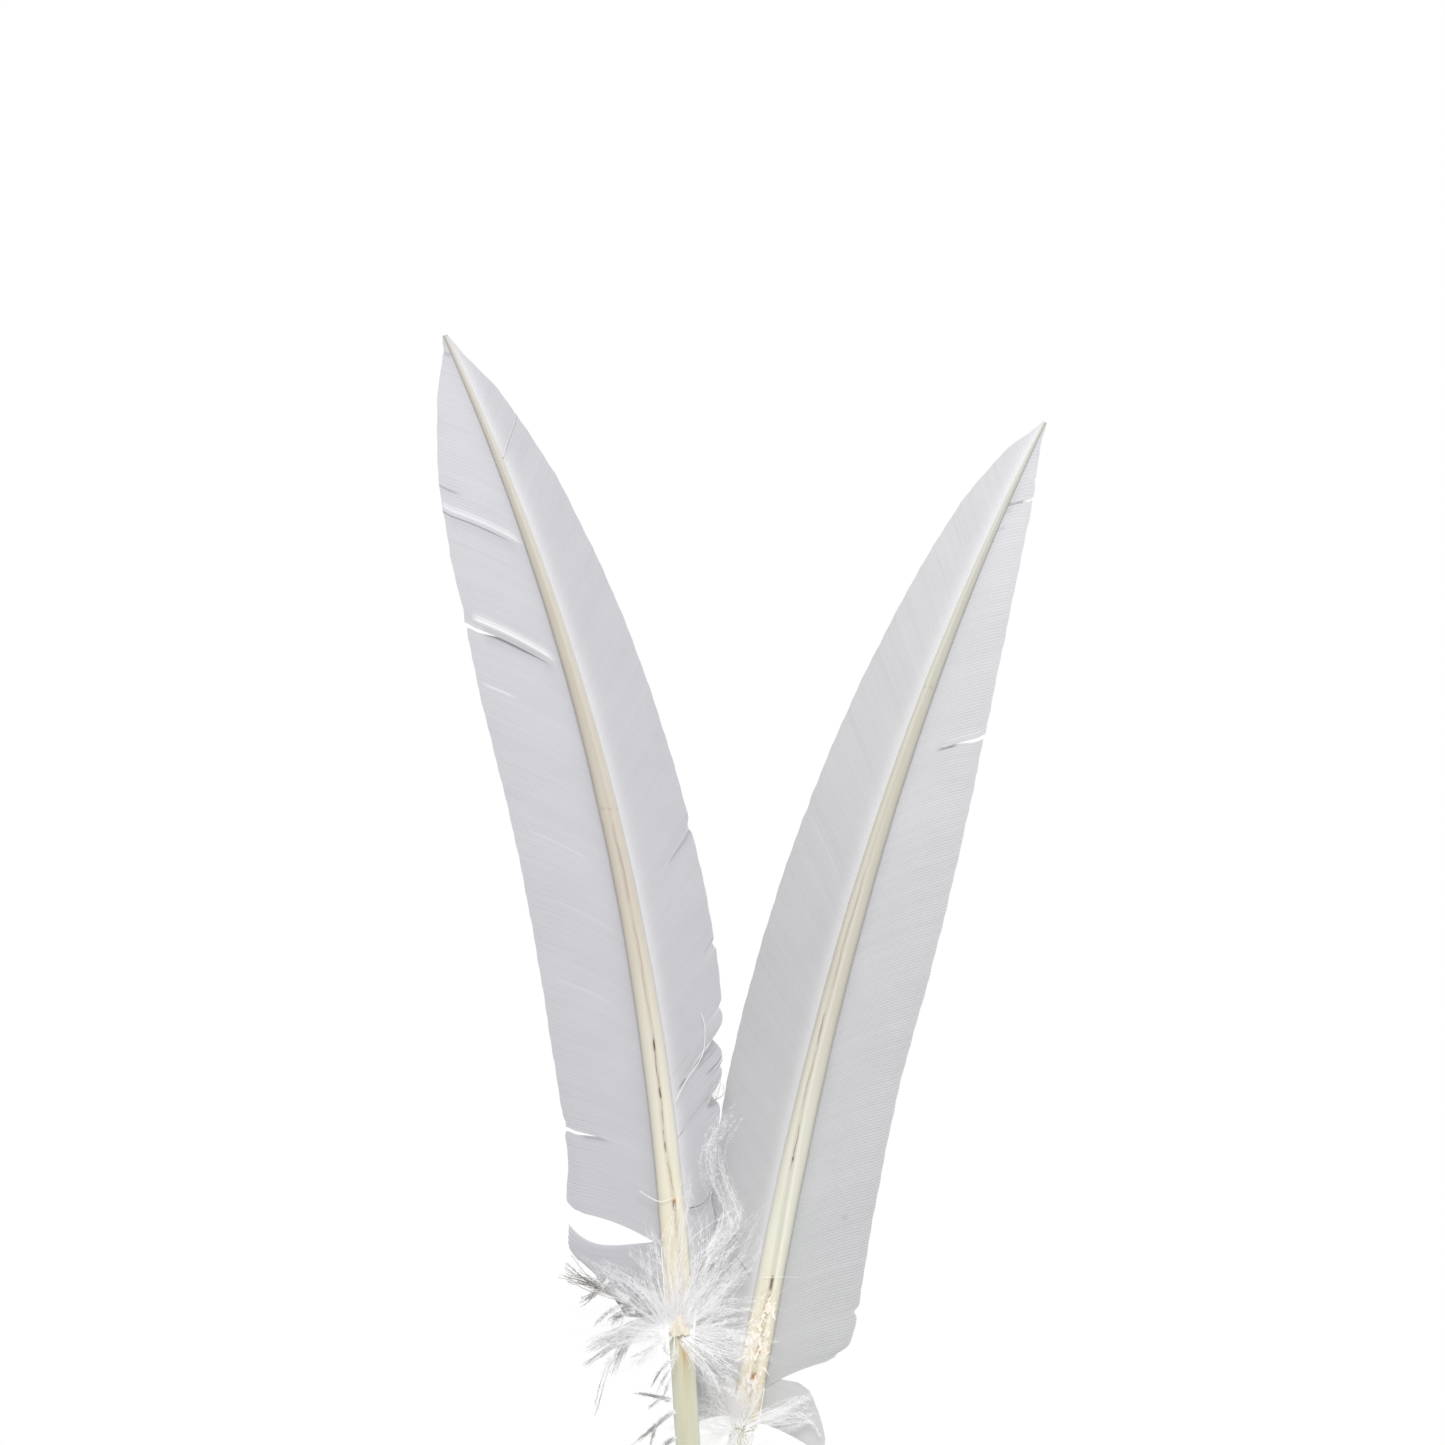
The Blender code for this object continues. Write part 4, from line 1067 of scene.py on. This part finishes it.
def matted_bundles(quill):
    """Matted down left of the front barrel's head: bundles that splay at their ends, with ragged hairs."""
    rng = np.random.default_rng(23)
    q = np.linspace(0, 1, STATIONS)
    c, s = math.cos(quill.lean), math.sin(quill.lean)
    upright = np.array([[c, -s], [s, c]])
    paths, dark = [], []
    for points, narrow, broad, count, matted in BUNDLES:
        line = bezier(points, q) * MM
        along = unit(np.gradient(line, axis=0))
        side = np.stack([-along[:, 1], along[:, 0]], 1)
        spread = (narrow + (broad - narrow) * q**1.5)[None, :, None] * MM
        lane = np.clip(rng.normal(0, 0.50, (count, 1, 1)), -1.2, 1.2)
        cross = 0.30 * rng.standard_normal((count, 1, 1)) * np.sin(q * math.pi * 1.6)[None, :, None]
        kink = 0.10 * rng.standard_normal((count, STATIONS, 1)) * q[None, :, None]
        flat = line[None] + side[None] * (spread * (lane + cross) + kink * MM)
        flat = flat[:, :1] + (flat - flat[:, :1]) * rng.uniform(0.62, 1.0, (count, 1, 1))
        flat = flat @ upright.T
        out = np.hypot(flat[..., 0], flat[..., 1])
        y = -(BARREL_RADIUS * 0.9) - 0.06 * out - rng.uniform(0, 1.2, (count, 1)) * MM
        paths.append(quill.to_world(np.stack([flat[..., 0], y, flat[..., 1] + BARREL_LENGTH], -1)))
        dark.append(matted * rng.uniform(0.9, 1.5, (count, 1)) * smoothstep(-0.1, 0.8, q))
    paths, dark = np.concatenate(paths), np.clip(np.concatenate(dark), 0, 1)
    radii = (0.125 - 0.080 * q**1.3) * MM * rng.uniform(0.6, 1.3, (len(paths), 1))
    hairs, owner = barbules(paths, rng, 16, 1.5, 0.05)
    fine = np.array([0.042, 0.032, 0.010]) * MM * np.ones((len(hairs), 1))
    shade = (dark[owner, STATIONS // 2, None] * rng.uniform(0.7, 1.2, (len(hairs), 1)))[:, :, None]
    return [(strands(paths, radii), {"matted": dark[:, :, None]}),
            (strands(hairs, fine), {"matted": np.clip(shade, 0, 1)})]


# ---------------------------------------------------------------- the studio
FLOOR_RADIUS = 0.36
WORLD_LIGHT = 0.62
LAMP_WATTS = 12.0
LAMP_SIZE = 0.55
LAMP_AT = (0.02, -1.24, 0.85)
LAMP_AIM = (0.0, 0.0, 0.20)
CAMERA_AT = (0.00336, -0.983, 0.2035)
CAMERA_AIM = (0.00336, 0.0, 0.2035)


def aim(obj, target):
    obj.rotation_euler = (Vector(target) - obj.location).to_track_quat("-Z", "Y").to_euler()


def make_floor():
    """A round, pale floor with an eased rim, just below the lower nib."""
    ground = CAD_BOX[0][2] - 0.001
    turns = np.arange(96) * 2 * math.pi / 96
    profile = ((FLOOR_RADIUS, -0.004), (FLOOR_RADIUS, -0.0005), (FLOOR_RADIUS - 0.0005, 0.0), (0.30, 0.0))
    rings = np.array([[[radius * math.cos(a), radius * math.sin(a), ground + height] for a in turns]
                      for radius, height in profile])
    finish = plain_finish("floor_matte", 0.8, (0.815, 0.815, 0.82), (0.83, 0.83, 0.83), 60.0)
    ring_mesh("floor", [(rings[None], {})], finish)


def make_surround():
    """A surround that lights the scene softly, and that the camera sees as plain white."""
    world = bpy.data.worlds.new("white_surround")
    bpy.context.scene.world = world
    world.use_nodes = True
    nodes, links = world.node_tree.nodes, world.node_tree.links
    lit, seen = nodes["Background"], nodes.new("ShaderNodeBackground")
    for background, strength in ((lit, WORLD_LIGHT), (seen, 1.0)):
        background.inputs["Color"].default_value = (1, 1, 1, 1)
        background.inputs["Strength"].default_value = strength
    path, choose = nodes.new("ShaderNodeLightPath"), nodes.new("ShaderNodeMixShader")
    links.new(path.outputs["Is Camera Ray"], choose.inputs[0])
    links.new(lit.outputs[0], choose.inputs[1])
    links.new(seen.outputs[0], choose.inputs[2])
    links.new(choose.outputs[0], nodes["World Output"].inputs["Surface"])


def make_softbox():
    """One soft light, high in front."""
    lamp = bpy.data.lights.new("softbox", "AREA")
    lamp.shape = "DISK"
    lamp.size = LAMP_SIZE
    lamp.energy = LAMP_WATTS
    softbox = bpy.data.objects.new("softbox", lamp)
    softbox.location = LAMP_AT
    aim(softbox, LAMP_AIM)
    bpy.context.scene.collection.objects.link(softbox)


def make_camera():
    """The view from straight in front, level with the middle of the vanes."""
    lens = bpy.data.cameras.new("camera")
    lens.lens = 100
    lens.sensor_width = 36
    lens.clip_end = 10
    camera = bpy.data.objects.new("camera", lens)
    camera.location = CAMERA_AT
    aim(camera, CAMERA_AIM)
    bpy.context.scene.collection.objects.link(camera)
    bpy.context.scene.camera = camera
    bpy.context.scene.view_settings.view_transform = "Standard"


# The barbs' colours low down, halfway and at the tip.
# Their lightening towards the tip is partly painted light from the high lamp, partly the barbs' own tone.
VANE_COLOURS = {
    ("front", "inner"): ((0.530, 0.530, 0.563), (0.573, 0.569, 0.600), (0.632, 0.626, 0.660)),
    ("front", "outer"): ((0.545, 0.545, 0.575), (0.582, 0.578, 0.610), (0.600, 0.595, 0.625)),
    ("rear", "inner"): ((0.580, 0.585, 0.590), (0.615, 0.615, 0.635), (0.720, 0.715, 0.742)),
    ("rear", "outer"): ((0.555, 0.555, 0.568), (0.530, 0.528, 0.545), (0.672, 0.670, 0.688)),
}


def make_vanes(quill):
    finishes = {side: vane_finish(f"{quill.name}_{side}_barbs", *VANE_COLOURS[quill.name, side])
                for side in ("inner", "outer")}
    for side, finish in finishes.items():
        for section in SECTIONS[quill.name, side]:
            make_vane(quill, side, section, finish)
    make_lobe(quill, finishes["inner"])


def repaint_inner_parts(quill, finishes):
    """Better materials for the CAD's own membrane and pith, which stay."""
    for node, finish in finishes.items():
        for place in frame["nodes"][f"{quill.name}_{node}"].material_slots:
            place.material = finish


def main():
    front, rear = Quill("front"), Quill("rear")
    for quill in (front, rear):
        make_vanes(quill)
    make_shaft(front, shaft_finish("front_shaft_cream", (1.0, 1.0, 1.0)))
    make_shaft(rear, shaft_finish("rear_shaft_cream", (1.01, 1.05, 1.06)))
    make_umbilicus_skin(front, plain_finish("dry_skin", 0.6, (0.74, 0.66, 0.53), (0.86, 0.82, 0.72), 1300.0,
                                            Specular_IOR_Level=0.3))
    make_shaft_sheath(rear, plain_finish("peach_skin", 0.6, (0.93, 0.83, 0.71), (0.97, 0.92, 0.83), 700.0,
                                         Specular_IOR_Level=0.3))
    down = down_finish()
    for name in TUFTS:
        quill = front if name.startswith("front") else rear
        extra = matted_bundles(quill) if name == "front_down_inner" else ()
        make_tuft(quill, name, down, extra)
    horn = barrel_finish()
    inner_finishes = {
        "barrel_membrane": plain_finish("amber_membrane", 0.5, (0.66, 0.45, 0.18),
                                        (0.82, 0.64, 0.34), 800.0),
        "shaft_pith": plain_finish("white_pith", 0.9, (0.80, 0.76, 0.66), (0.92, 0.89, 0.82), 1500.0),
    }
    for quill in (front, rear):
        make_barrel(quill, horn)
        repaint_inner_parts(quill, inner_finishes)
    make_floor()
    make_surround()
    make_softbox()
    make_camera()


main()
